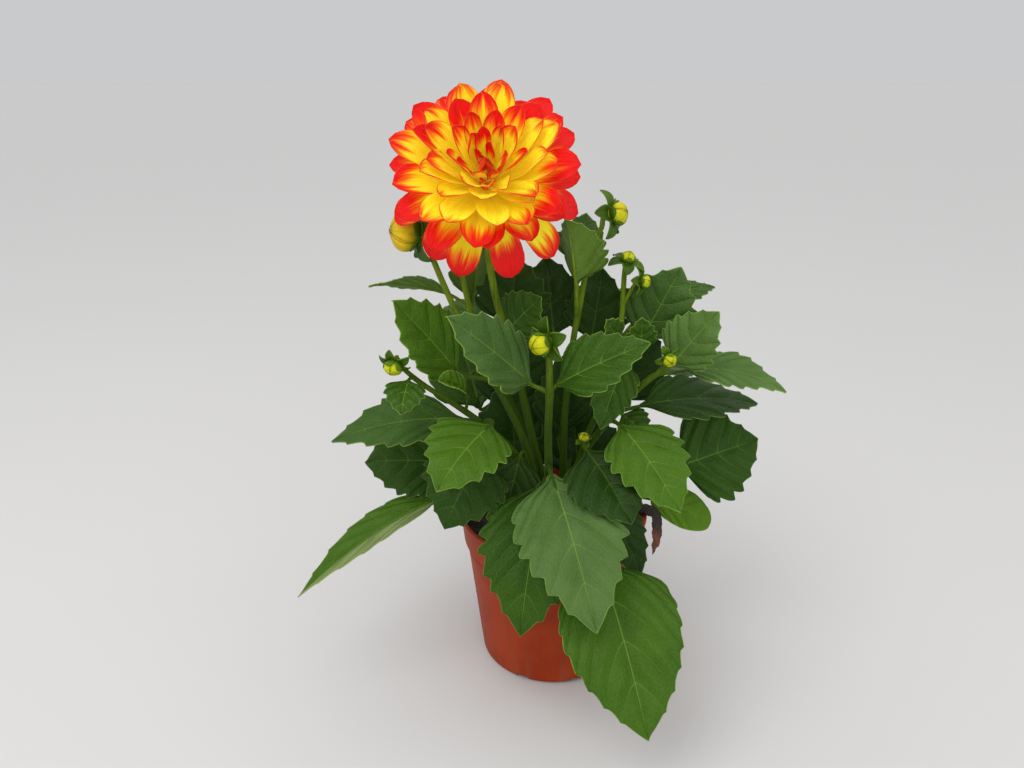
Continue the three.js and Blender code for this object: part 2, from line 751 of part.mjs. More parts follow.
// The pot: a tapered wall that steps out to a band below the rim, with drain slots around the base.
function potSolid() {
  const shell = toSolid(lathe([
    [0, 0], [potFootRadius, 0], [potFootRadius + potFootRound, potFootRound], [potStep, potBandHeight - 2],
    [potBandRadius, potBandHeight], [potRimRadius, potHeight - 1], [potRimRadius - 1, potHeight],
    [potRimRadius - 2.4, potHeight], [potBandRadius - potWall, potBandHeight],
    [potStep - 1.6, potBandHeight - 3], [potFootRadius + 1.5, potFootRound + 0.6], [0, potFloor],
  ]));
  const drains = [];
  for (let k = 0; k < drainCount; k += 1) {
    const box = new THREE.BoxGeometry(drainDepth, drainWidth, 2 * drainHeight);
    box.translate(potFootRadius + 1, 0, 0).rotateZ(radians((360 / drainCount) * (k + 0.42)));
    drains.push(toSolid(box));
  }
  return shell.subtract(fuse(drains));
}

// The soil fills the pot. Its top is uneven, and every stem stands in a plain hole.
function soilSolid() {
  const soil = lathe([
    [0, potFloor + soilFloorGap], [potFootRadius - soilWallGap, potFootRound + 0.6],
    [potStep - 2.2, potBandHeight - 3.2], [potBandRadius - 2.4, potBandHeight],
    [potBandRadius - 1.5, soilLevel - 1], [44, soilLevel], [22, soilLevel], [0, soilLevel],
  ]);
  const corners = soil.getAttribute("position");
  for (let i = 0; i < corners.count; i += 1) {
    const [x, y] = [corners.getX(i), corners.getY(i)];
    if (corners.getZ(i) > soilLevel - 0.5 && Math.hypot(x, y) > 1) {
      const bump = Math.sin(0.31 * x) + Math.sin(0.37 * y + 0.11 * x);
      corners.setZ(i, soilLevel + (soilBumps / 2) * bump);
    }
  }
  const holes = plant.map((stem) => {
    const foot = stem.curve.getPoint(0);
    const ends = [soilLevel - holeDepth - seatGap, soilLevel + 6].map((z) => foot.clone().setZ(z));
    const wide = stem.radius[0] + 1.15 * seatGap;
    return rod(ends, [wide, wide], stemSides);
  });
  return toSolid(soil).subtract(fuse(holes));
}

// A stem with its leaves and, for each bud or bloom, a stalk, a cup and bracts.
function stemSolid(stem) {
  const pieces = [stemRod(stem), ...stem.leaves.map((leaf) => leafSolid(stem, leaf))];
  const bloomSeat = bloomCentre.clone().addScaledVector(bloomAxis, -bloomBack);
  const bloomTop = { ...bloomCup, seat: bloomSeat, axis: bloomAxis };
  const buds = stem.buds.map((bud) => ({ ...bud, seat: at(bud.seat), axis: at(bud.axis).normalize() }));
  for (const top of stem.bloom ? [bloomTop] : buds) {
    const start = top.from ? stemPoint(stem, top.from) : stem.curve.getPoint(1);
    const neck = top.seat.clone().addScaledVector(top.axis, -0.9 * top.radius);
    const thick = stem.radius[1] * (top.from ? 0.75 : 1);
    const end = top.seat.clone().addScaledVector(top.axis, -0.3 * top.radius);
    pieces.push(rod([start, neck, end], [thick, thick, thick], stemSides), cupSolid(top));
  }
  return fuse(pieces);
}

const finish = (color, roughness) =>
  new THREE.MeshStandardMaterial({ color, roughness, metalness: 0, side: THREE.DoubleSide });
const potFinish = finish(0xa8401f, 0.55);
const soilFinish = finish(0x2c211a, 0.95);
const leafFinish = finish(0x35701f, 0.5);
const budFinish = finish(0xd9c81c, 0.6);
const bloomFinish = finish(0xf2701a, 0.6);
const deadLeafFinish = finish(0x4a2a1c, 0.85);

const dahlia = new THREE.Group();

function addNode(name, solid, material) {
  const mesh = new THREE.Mesh(toGeometry(tidied(solid)), material);
  mesh.name = name;
  dahlia.add(mesh);
}

for (const stem of plant) stem.curve = new THREE.CatmullRomCurve3(stem.route.map(at));

addNode("pot", potSolid(), potFinish);
addNode("soil", soilSolid(), soilFinish);
addNode("bloom_petals", bloomSolid(), bloomFinish);
addNode("dead_leaf", deadLeafSolid(), deadLeafFinish);
for (const stem of plant) {
  addNode(stem.name, stemSolid(stem), leafFinish);
  stem.buds.forEach((bud, i) => {
    const name = stem.name.replace("stem_", "bud_").replace("_bud", "");
    addNode(stem.buds.length > 1 ? `${name}_${i + 1}` : name, budSolid(bud), budFinish);
  });
}

export default dahlia;
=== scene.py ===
# A potted dahlia: one large bloom in red and yellow, closed buds and toothed leaves in a nursery pot.
# The frame is in metres with +Z up, its origin under the middle of the pot and +Y away from the camera.
# The plant's own sizes are in millimetres, as a gardener would measure them.
import math

import bpy
import numpy as np
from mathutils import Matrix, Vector, noise


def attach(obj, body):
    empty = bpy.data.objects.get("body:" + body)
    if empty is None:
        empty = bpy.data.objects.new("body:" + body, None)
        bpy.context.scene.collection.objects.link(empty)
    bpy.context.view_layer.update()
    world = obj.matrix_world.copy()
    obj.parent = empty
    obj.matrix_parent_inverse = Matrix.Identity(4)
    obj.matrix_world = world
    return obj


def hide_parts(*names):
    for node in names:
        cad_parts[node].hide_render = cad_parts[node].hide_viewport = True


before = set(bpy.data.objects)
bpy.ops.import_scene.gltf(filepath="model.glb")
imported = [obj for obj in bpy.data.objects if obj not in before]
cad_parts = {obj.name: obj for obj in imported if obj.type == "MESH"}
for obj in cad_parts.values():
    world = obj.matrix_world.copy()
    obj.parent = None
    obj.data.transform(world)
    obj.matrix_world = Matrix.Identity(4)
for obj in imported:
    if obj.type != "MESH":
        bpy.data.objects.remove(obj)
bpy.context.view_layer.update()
mm = 0.001
up = np.array([0.0, 0.0, 1.0])
print("frame loaded")


# Vectors and curves

def unit(v):
    v = np.asarray(v, float)
    return v / np.linalg.norm(v, axis=-1, keepdims=True)


def dot(a, b):
    return np.sum(a * b, axis=-1, keepdims=True)


def mix(a, b, share):
    return a + (b - a) * share


def smooth(low, high, x):
    t = np.clip((x - low) / (high - low), 0, 1)
    return t * t * (3 - 2 * t)


def scatter(n):
    value = np.sin(np.asarray(n, float) * 12.9898 + 4.1) * 437.5453
    return value - np.floor(value)  # a steady number from 0 to 1 for each whole number


def readOff(pairs, x):
    # the value at x, between pairs of a place and its value
    places, values = zip(*pairs)
    return np.interp(x, places, values)


def bezier(points, t):
    points = [np.asarray(p, float) for p in points]
    t = np.asarray(t, float)[..., None]
    while len(points) > 1:
        points = [mix(a, b, t) for a, b in zip(points, points[1:])]
    return points[0]


def follow(points, t):
    # the points of a curve and its direction there
    points = [np.asarray(p, float) for p in points]
    return bezier(points, t), unit(bezier([b - a for a, b in zip(points, points[1:])], t))


def flowing(points, count):
    # evenly spaced points of a centripetal Catmull-Rom curve
    p = [np.asarray(q, float) for q in points]
    p = [2 * p[0] - p[1], *p, 2 * p[-1] - p[-2]]
    line = []
    for i in range(1, len(p) - 2):
        a, b, c, d = p[i - 1:i + 3]
        ta, tb, tc = [np.linalg.norm(q - r) ** 0.5 for q, r in ((b, a), (c, b), (d, c))]
        leave = ((b - a) / ta - (c - a) / (ta + tb) + (c - b) / tb) * tb
        arrive = ((c - b) / tb - (d - b) / (tb + tc) + (d - c) / tc) * tb
        t = np.linspace(0, 1, 24, endpoint=False)
        line.append(bezier([b, b + leave / 3, c - arrive / 3, c], t))
    line = np.vstack([*line, p[-2][None]])
    run = np.concatenate([[0], np.cumsum(np.linalg.norm(np.diff(line, axis=0), axis=1))])
    at = np.linspace(0, run[-1], count)
    return np.stack([np.interp(at, run, line[:, k]) for k in range(3)], axis=1)


def square(axis):
    # two directions square to an axis, the second one as far up as it can be
    side = -unit(np.cross(axis, [0, 1, 0] if abs(axis[2]) > 0.95 else up))
    return side, np.cross(axis, side)


def spoke(axis, turn):
    # the direction square to an axis at a turn, or one for each of many turns
    side, third = square(axis)
    turn = np.asarray(turn)[..., None]
    return side * np.cos(turn) + third * np.sin(turn)


# Shader tools. Those that are given a socket find their node tree from it.

def plug(value, socket):
    if isinstance(value, bpy.types.NodeSocket):
        socket.id_data.links.new(value, socket)
    else:
        socket.default_value = value


def fill(item, inputs):
    for key, value in inputs.items():
        plug(value, item.inputs[key])
    return item


def add(tree, kind, inputs, **settings):
    item = tree.nodes.new(kind)
    for key, value in settings.items():
        setattr(item, key, value)
    return fill(item, inputs)


def treeOf(values):
    return next(value.id_data for value in values if isinstance(value, bpy.types.NodeSocket))


def calc(operation, *values, clamp=False):
    inputs = dict(enumerate(values))
    return add(treeOf(values), "ShaderNodeMath", inputs, operation=operation, use_clamp=clamp).outputs[0]


def times(*values):
    # the first value times the second one, plus the third one if there is one
    return calc("MULTIPLY_ADD" if len(values) > 2 else "MULTIPLY", *values)


def blend(share, first, second):
    inputs = {0: share, 6: first, 7: second}
    return add(treeOf([share, first, second]), "ShaderNodeMix", inputs, data_type="RGBA").outputs[2]


def band(value, low, high, first=0.0, second=1.0):
    inputs = {"Value": value, "From Min": low, "From Max": high, "To Min": first, "To Max": second}
    return add(value.id_data, "ShaderNodeMapRange", inputs, interpolation_type="SMOOTHSTEP").outputs[0]


def reading(tree, name):
    return add(tree, "ShaderNodeAttribute", {}, attribute_name=name).outputs["Fac"]


def place(tree):
    return add(tree, "ShaderNodeTexCoord", {}).outputs["Object"]


def vectorOf(x, y, z):
    return add(x.id_data, "ShaderNodeCombineXYZ", {0: x, 1: y, 2: z}).outputs[0]


def heightOf(vector):
    return add(vector.id_data, "ShaderNodeSeparateXYZ", {0: vector}).outputs[2]


def speckle(vector, scale, detail=2.0, roughness=0.55):
    inputs = {"Vector": vector, "Scale": scale, "Detail": detail, "Roughness": roughness}
    return add(vector.id_data, "ShaderNodeTexNoise", inputs).outputs[0]


def drawnOut(vector, across, upward):
    # noise that is stretched upwards
    inputs = {"Vector": vector, "Scale": (across, across, upward)}
    return speckle(add(vector.id_data, "ShaderNodeMapping", inputs).outputs[0], 1.0, 3.0)


def surface(colour, roughness, height, depth, strength, gloss=0.5):
    bump = {"Height": height, "Distance": depth, "Strength": strength}
    normal = add(height.id_data, "ShaderNodeBump", bump).outputs["Normal"]
    return {"Base Color": colour, "Roughness": roughness, "Normal": normal, "Specular IOR Level": gloss}


def newMaterial(name, recipe, look, *choices):
    material = bpy.data.materials.new(name)
    material.use_nodes = True
    tree = material.node_tree
    fill(tree.nodes["Principled BSDF"], recipe(tree, look, *choices))
    return material


def newGroup(name, recipe, **given):
    tree = bpy.data.node_groups.new(name, "ShaderNodeTree")
    for label, value in given.items():
        tree.interface.new_socket(label, in_out="INPUT", socket_type="NodeSocketFloat").default_value = value
    results = recipe(tree, tree.nodes.new("NodeGroupInput").outputs)
    for label in results:
        tree.interface.new_socket(label, in_out="OUTPUT", socket_type="NodeSocketFloat")
    fill(tree.nodes.new("NodeGroupOutput"), results)
    return tree


def use(tree, group, **inputs):
    return add(tree, "ShaderNodeGroup", inputs, node_tree=group).outputs


def rgb(red, green, blue):
    return (red, green, blue, 1.0)


# Patches of lighter and darker colour, and a fine grain over them
def mottleRecipe(tree, given):
    spot = place(tree)
    patches = band(speckle(spot, given["Patch"]), 0.3, 0.7)
    return {"Patches": patches, "Grains": speckle(spot, given["Grain"])}


def fromWhole(value):
    # how far a value is from the nearest whole number
    return calc("ABSOLUTE", calc("SUBTRACT", value, calc("ROUND", value)))


# The veins of a blade: its midrib, the side veins, the fine net between them and the very margin.
# "Puff" is the blade that swells between the veins.
def veinsRecipe(tree, given):
    out, phase, pitch = [reading(tree, name) for name in ("outward", "veinPhase", "veinPitch")]
    nearBase = band(reading(tree, "baseShare"), 0.55, 0.92, 1.0, 0.0)
    nearest, half = fromWhole(phase), fromWhole(times(phase, 2.0))
    width = times(given["Width"], calc("SUBTRACT", 1.25, out))
    main = calc("SUBTRACT", 1.0, calc("DIVIDE", times(nearest, pitch), times(width, 2.0)), clamp=True)
    main = times(band(main, 0.0, 0.8), band(out, 0.55, 1.0, 1.0, 0.45))
    apart = calc("DIVIDE", times(half, pitch), given["Width"])
    small = times(band(apart, 0.4, 2.4, 0.5, 0.0), band(out, 0.1, 0.4))
    dome = calc("POWER", times(nearest, 2.0), 0.6)
    dome = times(times(calc("POWER", times(half, 2.0), 0.6), 0.35, dome), nearBase)
    spot = vectorOf(reading(tree, "ribMm"), reading(tree, "alongMm"), 0.0)
    wander = add(tree, "ShaderNodeTexNoise", {"Vector": spot, "Scale": 0.35, "Detail": 2.0}).outputs[1]
    bent = {0: wander, 1: (2.2, 2.2, 0.0), 2: spot}
    bent = add(tree, "ShaderNodeVectorMath", bent, operation="MULTIPLY_ADD").outputs[0]
    cells = {"Vector": bent, "Scale": calc("DIVIDE", 1.0, given["Mesh"])}
    net = add(tree, "ShaderNodeTexVoronoi", cells, feature="DISTANCE_TO_EDGE", voronoi_dimensions="2D")
    inside = net.outputs["Distance"]
    return {
        "Rib": band(reading(tree, "ribShare"), 0.55, 1.25, 1.0, 0.0),
        "Side": times(calc("MAXIMUM", main, small), times(nearBase, 0.6, 0.4)),
        "Net": band(inside, 0.0, 0.12, 1.0, 0.0),
        "Margin": band(reading(tree, "edgeMm"), 0.15, 0.5, 1.0, 0.0),
        "Puff": times(dome, band(out, 0.0, 0.3), times(band(inside, 0.0, 0.5), 0.16)),
    }


# Streaks that run the length of a petal
def streaksRecipe(tree, given):
    side = times(reading(tree, "across"), given["Count"])
    along = reading(tree, "along")
    broad = vectorOf(times(side, 0.22), times(along, 0.9), given["Seed"])
    fine = vectorOf(side, times(along, 1.3), given["Seed"])
    return {"Broad": speckle(broad, 1.6), "Fine": speckle(fine, 1.5, 2.0, 0.6)}


mottle = newGroup("mottle", mottleRecipe, Patch=60.0, Grain=900.0)
veins = newGroup("veins", veinsRecipe, Width=0.2, Mesh=2.6)
streaks = newGroup("streaks", streaksRecipe, Count=9.0, Seed=0.0)


# Materials

leafLook = {
    "deep": rgb(0.006, 0.027, 0.0008), "green": rgb(0.028, 0.086, 0.0018), "bright": rgb(0.088, 0.205, 0.004),
    # cool is the bluish grey of a painted reflection of the sky on glossy leaves
    "cool": rgb(0.090, 0.158, 0.050), "under": rgb(0.120, 0.215, 0.035), "pale": rgb(0.28, 0.32, 0.14),
    "vein": rgb(0.18, 0.31, 0.04), "margin": rgb(0.24, 0.37, 0.06),
    "lines": {"Net": 0.10, "Side": 0.44, "Rib": 0.55, "Margin": 0.6},
    "patch": 0.45, "wrinkles": 2.2, "puff": 2.6, "roughness": 0.36, "gloss": 0.1,
}


def leafRecipe(tree, look, isUnder):
    lines = use(tree, veins)
    mixed = use(tree, mottle, Patch=45.0, Grain=1500.0)
    tone = reading(tree, "tone")
    # the tone is partly the leaf's own green and partly painted shade: the low tones stand for the shade on
    # leaves deep inside the crown
    shade = look["deep"]
    for low, high, colour in ((0.0, 0.5, "green"), (0.5, 1.0, "bright"), (1.0, 2.0, "pale")):
        shade = blend(band(tone, low, high), shade, look[colour])
    # painted sheen: a bluish grey reflection of the sky painted into the leaf's colour
    shade = blend(reading(tree, "cool"), shade, look["cool"])
    if isUnder:
        shade = blend(0.75, shade, look["under"])
    shade = blend(times(mixed["Patches"], look["patch"]), shade, blend(0.5, shade, look["deep"]))
    shade = blend(band(mixed["Grains"], 0.62, 0.75, 0.0, 0.25), shade, look["bright"])
    # the veins are fainter on the dark leaves inside the crown, whose dark tone is painted shade
    clear = band(tone, 0.0, 0.6, 0.3, 1.6 if isUnder else 1.0)
    for line, share in look["lines"].items():
        colour = look["margin" if line == "Margin" else "vein"]
        shade = blend(times(lines[line], times(clear, share)), shade, colour)
    rough = times(mixed["Patches"], 0.14, look["roughness"] - 0.08 + 0.15 * isUnder)
    raised = times(lines["Net"], 0.25, calc("ADD", times(lines["Side"], 0.7), lines["Rib"]))
    height = times(mixed["Grains"], 0.22, times(raised, 1.0 if isUnder else -0.6))
    height = times(speckle(place(tree), 190.0, 2.0, 0.5), look["wrinkles"], height)
    height = times(lines["Puff"], -look["puff"] if isUnder else look["puff"], height)
    return surface(shade, rough, height, 0.0003, 0.9, look["gloss"])


# the low green is painted shade: the stalks are darker low down, where the crown shades them, and lighter
# higher up
stalkLook = {
    "low": rgb(0.032, 0.072, 0.0015), "high": rgb(0.20, 0.30, 0.015), "dark": rgb(0.018, 0.045, 0.001),
    "turns": (0.19, 0.29), "roughness": 0.42, "gloss": 0.1,  # from the low to the high green, in metres up
}


def stalkRecipe(tree, look):
    spot = place(tree)
    streak = drawnOut(spot, 900.0, 40.0)
    mixed = use(tree, mottle, Patch=55.0, Grain=1800.0)
    # painted shade: darker green low on the stalks, lighter higher up
    shade = blend(band(heightOf(spot), *look["turns"]), look["low"], look["high"])
    shade = blend(times(mixed["Patches"], 0.45), shade, look["low"])
    shade = blend(band(streak, 0.48, 0.66, 0.0, 0.45), shade, look["dark"])
    return surface(shade, times(streak, 0.15, look["roughness"]), streak, 0.0003, 0.7, look["gloss"])


petalLook = {
    "yellow": rgb(1.0, 0.80, 0.010), "pale": rgb(1.0, 0.84, 0.07), "orange": rgb(1.0, 0.20, 0.004),
    # rim is the dark red of the painted shade along the petal edges
    "red": rgb(0.76, 0.006, 0.005), "rim": rgb(0.34, 0.004, 0.004), "back": rgb(1.0, 0.42, 0.08),
    # paintedGlow is the strength of a painted glow in the petals' own colour
    "feathers": {"Broad": 0.46, "Fine": 0.20}, "roughness": 0.4, "gloss": 0.2, "paintedGlow": 0.1,
}


def petalRecipe(tree, look, isUnder):
    line = use(tree, streaks, Count=7.0, Seed=reading(tree, "seed"))
    along = reading(tree, "along")
    # red comes from the tip and runs down the margins in feathered streaks
    edge = calc("POWER", calc("ABSOLUTE", reading(tree, "across")), 3.0)
    reach = times(edge, reading(tree, "edging"), along)
    for kind, share in look["feathers"].items():
        reach = times(calc("SUBTRACT", line[kind], 0.5), share, reach)
    past = calc("SUBTRACT", reach, reading(tree, "blush"))
    glow = blend(band(line["Fine"], 0.35, 0.7, 0.0, 0.5), look["yellow"], look["pale"])
    if isUnder:
        glow = blend(0.35, glow, look["back"])
        past = calc("ADD", past, 0.06)
    shade = blend(band(past, -0.13, 0.04), glow, look["orange"])
    shade = blend(band(past, -0.04, 0.14), shade, look["red"])
    if isUnder:
        shade = blend(0.12, shade, look["back"])
    # painted shade: a dark red line along the petal edges towards the tip, where one petal shades the next
    rim = times(band(reading(tree, "edgeMm"), 0.15, 0.7, 0.55, 0.0), band(along, 0.5, 0.85))
    shade = blend(rim, shade, look["rim"])
    rough = times(line["Fine"], 0.2, look["roughness"])
    return {
        **surface(shade, rough, line["Fine"], 0.0012, 0.9, look["gloss"]),
        "Subsurface Weight": 0.7, "Subsurface Radius": (1.0, 0.7, 0.3), "Subsurface Scale": 0.0022,
        # painted glow: the petals emit a little of their own colour, standing in for daylight that passes
        # through them
        "Emission Color": shade, "Emission Strength": look["paintedGlow"],  # daylight that passes through the petals
    }


budLook = {
    "gold": rgb(0.78, 0.47, 0.006), "lime": rgb(0.50, 0.56, 0.004), "green": rgb(0.16, 0.28, 0.004),
    "seam": rgb(0.16, 0.085, 0.006), "roughness": 0.35, "gloss": 0.2,
}


def budRecipe(tree, look):
    line = use(tree, streaks, Count=8.0, Seed=reading(tree, "seed"))
    ripe = blend(reading(tree, "gold"), look["lime"], look["gold"])
    shade = blend(band(line["Fine"], 0.35, 0.7, 0.0, 0.35), ripe, petalLook["yellow"])
    shade = blend(band(reading(tree, "along"), 0.1, 0.7), look["green"], shade)
    shade = blend(band(reading(tree, "edgeMm"), 0.05, 0.7, 0.7, 0.0), shade, look["seam"])
    rough = times(line["Fine"], 0.2, look["roughness"])
    return {
        **surface(shade, rough, line["Fine"], 0.0006, 0.8, look["gloss"]),
        "Subsurface Weight": 0.2, "Subsurface Scale": 0.002,
    }


bractLook = {
    "green": rgb(0.016, 0.050, 0.002), "light": rgb(0.10, 0.20, 0.006), "roughness": 0.35, "gloss": 0.2,
}


def bractRecipe(tree, look):
    line = use(tree, streaks, Count=6.0, Seed=reading(tree, "seed"))
    shade = blend(reading(tree, "tone"), look["green"], look["light"])
    shade = blend(band(line["Fine"], 0.4, 0.7, 0.0, 0.35), shade, look["light"])
    shade = blend(band(reading(tree, "edgeMm"), 0.1, 0.4, 0.6, 0.0), shade, look["light"])
    rough = times(line["Fine"], 0.2, look["roughness"])
    return surface(shade, rough, line["Fine"], 0.0004, 0.8, look["gloss"])


deadLook = {
    "brown": rgb(0.075, 0.024, 0.010), "rust": rgb(0.20, 0.062, 0.022), "black": rgb(0.008, 0.006, 0.005),
    "roughness": 0.6,
}


def deadRecipe(tree, look):
    mixed = use(tree, mottle, Patch=160.0, Grain=1400.0)
    shade = blend(mixed["Patches"], look["brown"], look["rust"])
    shade = blend(band(reading(tree, "along"), 0.55, 0.8, 0.92, 0.0), shade, look["black"])
    return surface(shade, times(mixed["Grains"], 0.3, look["roughness"]), mixed["Grains"], 0.0008, 0.9)


potLook = {
    "clay": rgb(0.29, 0.028, 0.003), "light": rgb(0.36, 0.040, 0.006), "dark": rgb(0.20, 0.017, 0.002),
    "dust": rgb(0.34, 0.17, 0.10), "dirt": rgb(0.045, 0.028, 0.020),
    "dusting": 0.22, "roughness": 0.42, "gloss": 0.12,
}


def potRecipe(tree, look):
    spot = place(tree)
    upward = heightOf(spot)
    mixed = use(tree, mottle, Patch=38.0, Grain=2200.0)
    lines = drawnOut(spot, 150.0, 6.0)
    shade = blend(mixed["Patches"], look["clay"], look["light"])
    shade = blend(band(lines, 0.45, 0.75, 0.0, 0.4), shade, look["dark"])
    dusty = times(band(upward, 0.0, 0.03, 1.0, 0.25), band(lines, 0.4, 0.7))
    shade = blend(times(dusty, look["dusting"]), shade, look["dust"])
    rimDirt = band(upward, 0.085, 0.108, 0.0, 0.05)
    dirt = band(calc("ADD", speckle(spot, 260.0, 4.0, 0.7), rimDirt), 0.70, 0.76)
    shade = blend(times(dirt, 0.8), shade, look["dirt"])
    rough = times(dusty, 0.12, times(mixed["Grains"], 0.16, look["roughness"]))
    height = times(mixed["Grains"], 0.25, calc("ADD", lines, dirt))
    return surface(shade, rough, height, 0.00022, 0.6, look["gloss"])


soilLook = {
    "black": rgb(0.010, 0.007, 0.005), "brown": rgb(0.042, 0.025, 0.015), "fibre": rgb(0.12, 0.075, 0.04),
    "roughness": 0.65,
}


def soilRecipe(tree, look):
    mixed = use(tree, mottle, Patch=220.0, Grain=1600.0)
    shade = blend(mixed["Patches"], look["black"], look["brown"])
    shade = blend(band(mixed["Grains"], 0.60, 0.72, 0.0, 0.7), shade, look["fibre"])
    return surface(shade, times(mixed["Patches"], 0.25, look["roughness"]), mixed["Grains"], 0.0012, 0.9)


leafTop = newMaterial("leafUpperSide", leafRecipe, leafLook, False)
leafUnder = newMaterial("leafUnderside", leafRecipe, leafLook, True)
stalkSkin = newMaterial("stalkGreen", stalkRecipe, stalkLook)
petalTop = newMaterial("petalInnerFace", petalRecipe, petalLook, False)
petalUnder = newMaterial("petalOuterFace", petalRecipe, petalLook, True)
budSkin = newMaterial("budYellow", budRecipe, budLook)
bractSkin = newMaterial("bractGreen", bractRecipe, bractLook)
deadSkin = newMaterial("deadLeafBrown", deadRecipe, deadLook)
potSkin = newMaterial("potPlastic", potRecipe, potLook)
soilSkin = newMaterial("soilDamp", soilRecipe, soilLook)
print("materials made")


# Mesh tools

def clearSelection():
    if bpy.context.object and bpy.context.object.mode != "OBJECT":
        bpy.ops.object.mode_set(mode="OBJECT")
    bpy.ops.object.select_all(action="DESELECT")


def fresh(name, operator, **settings):
    clearSelection()
    operator(**settings)
    bpy.context.active_object.name = name
    return bpy.context.active_object


def activate(piece):
    clearSelection()
    piece.select_set(True)
    bpy.context.view_layer.objects.active = piece


def applyModifier(piece, kind, **settings):
    activate(piece)
    bpy.ops.object.modifier_add(type=kind)
    modifier = piece.modifiers[-1]
    for key, value in settings.items():
        setattr(modifier, key, value)
    bpy.ops.object.modifier_apply(modifier=modifier.name)


def copyOf(original):
    copy = original.copy()
    copy.data = original.data.copy()
    bpy.context.scene.collection.objects.link(copy)
    return copy


def joinAll(pieces, name):
    clearSelection()
    for piece in pieces:
        piece.select_set(True)
    bpy.context.view_layer.objects.active = pieces[0]
    if len(pieces) > 1:
        bpy.ops.object.join()
    pieces[0].name = name
    return pieces[0]


def editWhole(piece, operator, **settings):
    activate(piece)
    bpy.ops.object.mode_set(mode="EDIT")
    bpy.ops.mesh.select_all(action="SELECT")
    operator(**settings)
    bpy.ops.object.mode_set(mode="OBJECT")
    return piece


def outward(piece):
    return editWhole(piece, bpy.ops.mesh.normals_make_consistent, inside=False)


def wear(piece, *materials):
    piece.data.materials.clear()
    for material in materials:
        piece.data.materials.append(material)
    return piece


def settle(piece, node, angle=180):
    # the finished piece: smooth, in place and riding on the plant
    activate(piece)
    bpy.ops.object.transform_apply(location=True, rotation=True, scale=True)
    bpy.ops.object.shade_smooth_by_angle(angle=math.radians(angle))
    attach(piece, "root")
    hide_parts(node)
    return piece


# A flat sheet of squares that leaves, petals and bracts are shaped from. "t" goes across it from -1 to 1 and
# "share" along it from 0 to 1.
def sheetBlank(name, columns, rows):
    blank = fresh(name, bpy.ops.mesh.primitive_grid_add, x_subdivisions=columns, y_subdivisions=rows, size=2)
    flat = np.zeros(len(blank.data.vertices) * 3, np.float32)
    blank.data.vertices.foreach_get("co", flat)
    flat = flat.reshape(-1, 3)
    column = np.rint((flat[:, 0] + 1) / 2 * columns).astype(int)
    row = np.rint((flat[:, 1] + 1) / 2 * rows).astype(int)
    return {"object": blank, "t": column / (columns / 2) - 1, "row": row, "share": row / rows}


# A copy of a blank with its corners at the given points, which carries values for its material
def shaped(blank, points, values):
    piece = copyOf(blank["object"])
    piece.data.vertices.foreach_set("co", (points * mm).astype(np.float32).ravel())
    for name, value in values.items():
        layer = piece.data.attributes.new(name, "FLOAT", "POINT")
        layer.data.foreach_set("value", np.broadcast_to(value, len(points)).astype(np.float32))
    piece.data.update()
    return piece


# Gives sheets a thickness: the first material is on the upper side, the last one below
def thickened(sheets, name, thickness, *materials):
    piece = wear(joinAll(sheets, name), *materials)
    editWhole(piece, bpy.ops.mesh.remove_doubles, threshold=1e-7)
    below = len(materials) - 1
    applyModifier(
        piece, "SOLIDIFY", thickness=thickness * mm, offset=0.0, use_rim=True,
        material_offset=below, material_offset_rim=below,
    )
    return piece


# Round stalks along lines of points, with a radius at each, as one mesh. Without depth they stay bare lines.
def stalks(name, lines, material, sides=3, depth=1.0):
    piece = fresh(name, bpy.ops.curve.primitive_nurbs_path_add)
    drawn = piece.data
    drawn.splines.clear()
    drawn.dimensions = "3D"
    drawn.bevel_depth = depth
    drawn.bevel_resolution = sides
    drawn.use_fill_caps = True
    drawn.twist_mode = "MINIMUM"
    for points, radii in lines:
        spline = drawn.splines.new("POLY")
        spline.points.add(len(points) - 1)
        spline.use_smooth = True
        for item, point, radius in zip(spline.points, points, radii):
            item.co = (*(point * mm), 1.0)
            item.radius = radius * mm
    drawn.materials.append(material)
    activate(piece)
    bpy.ops.object.convert(target="MESH")
    return piece


# The pot and the soil

def turned(name, profile, steps, material):
    # an outline of radius and height, from the axis back to the axis, spun round it
    line = np.array([(radius, 0, height) for radius, height in profile])
    piece = stalks(name, [(line, np.ones(len(line)))], material, depth=0)
    editWhole(piece, bpy.ops.mesh.spin, steps=steps, angle=2 * math.pi, center=(0, 0, 0), axis=(0, 0, 1))
    editWhole(piece, bpy.ops.mesh.remove_doubles, threshold=1e-6)
    return outward(piece)


pot = {
    "height": 110.0, "rim": 65.0, "band": 62.4, "bandHeight": 90.0, "foot": 46.0, "footRound": 4.0,
    "step": 60.6, "wall": 1.8, "floor": 2.4, "rib": 0.35, "lip": 1.3, "sides": 160,
    "drains": 8, "drainWidth": 9.0, "drainHeight": 3.4, "drainRound": 1.3,
}


def arc(centre, radius, start, end, count):
    turns = np.radians(np.linspace(start, end, count))
    return [(centre[0] + radius * math.cos(t), centre[1] + radius * math.sin(t)) for t in turns]


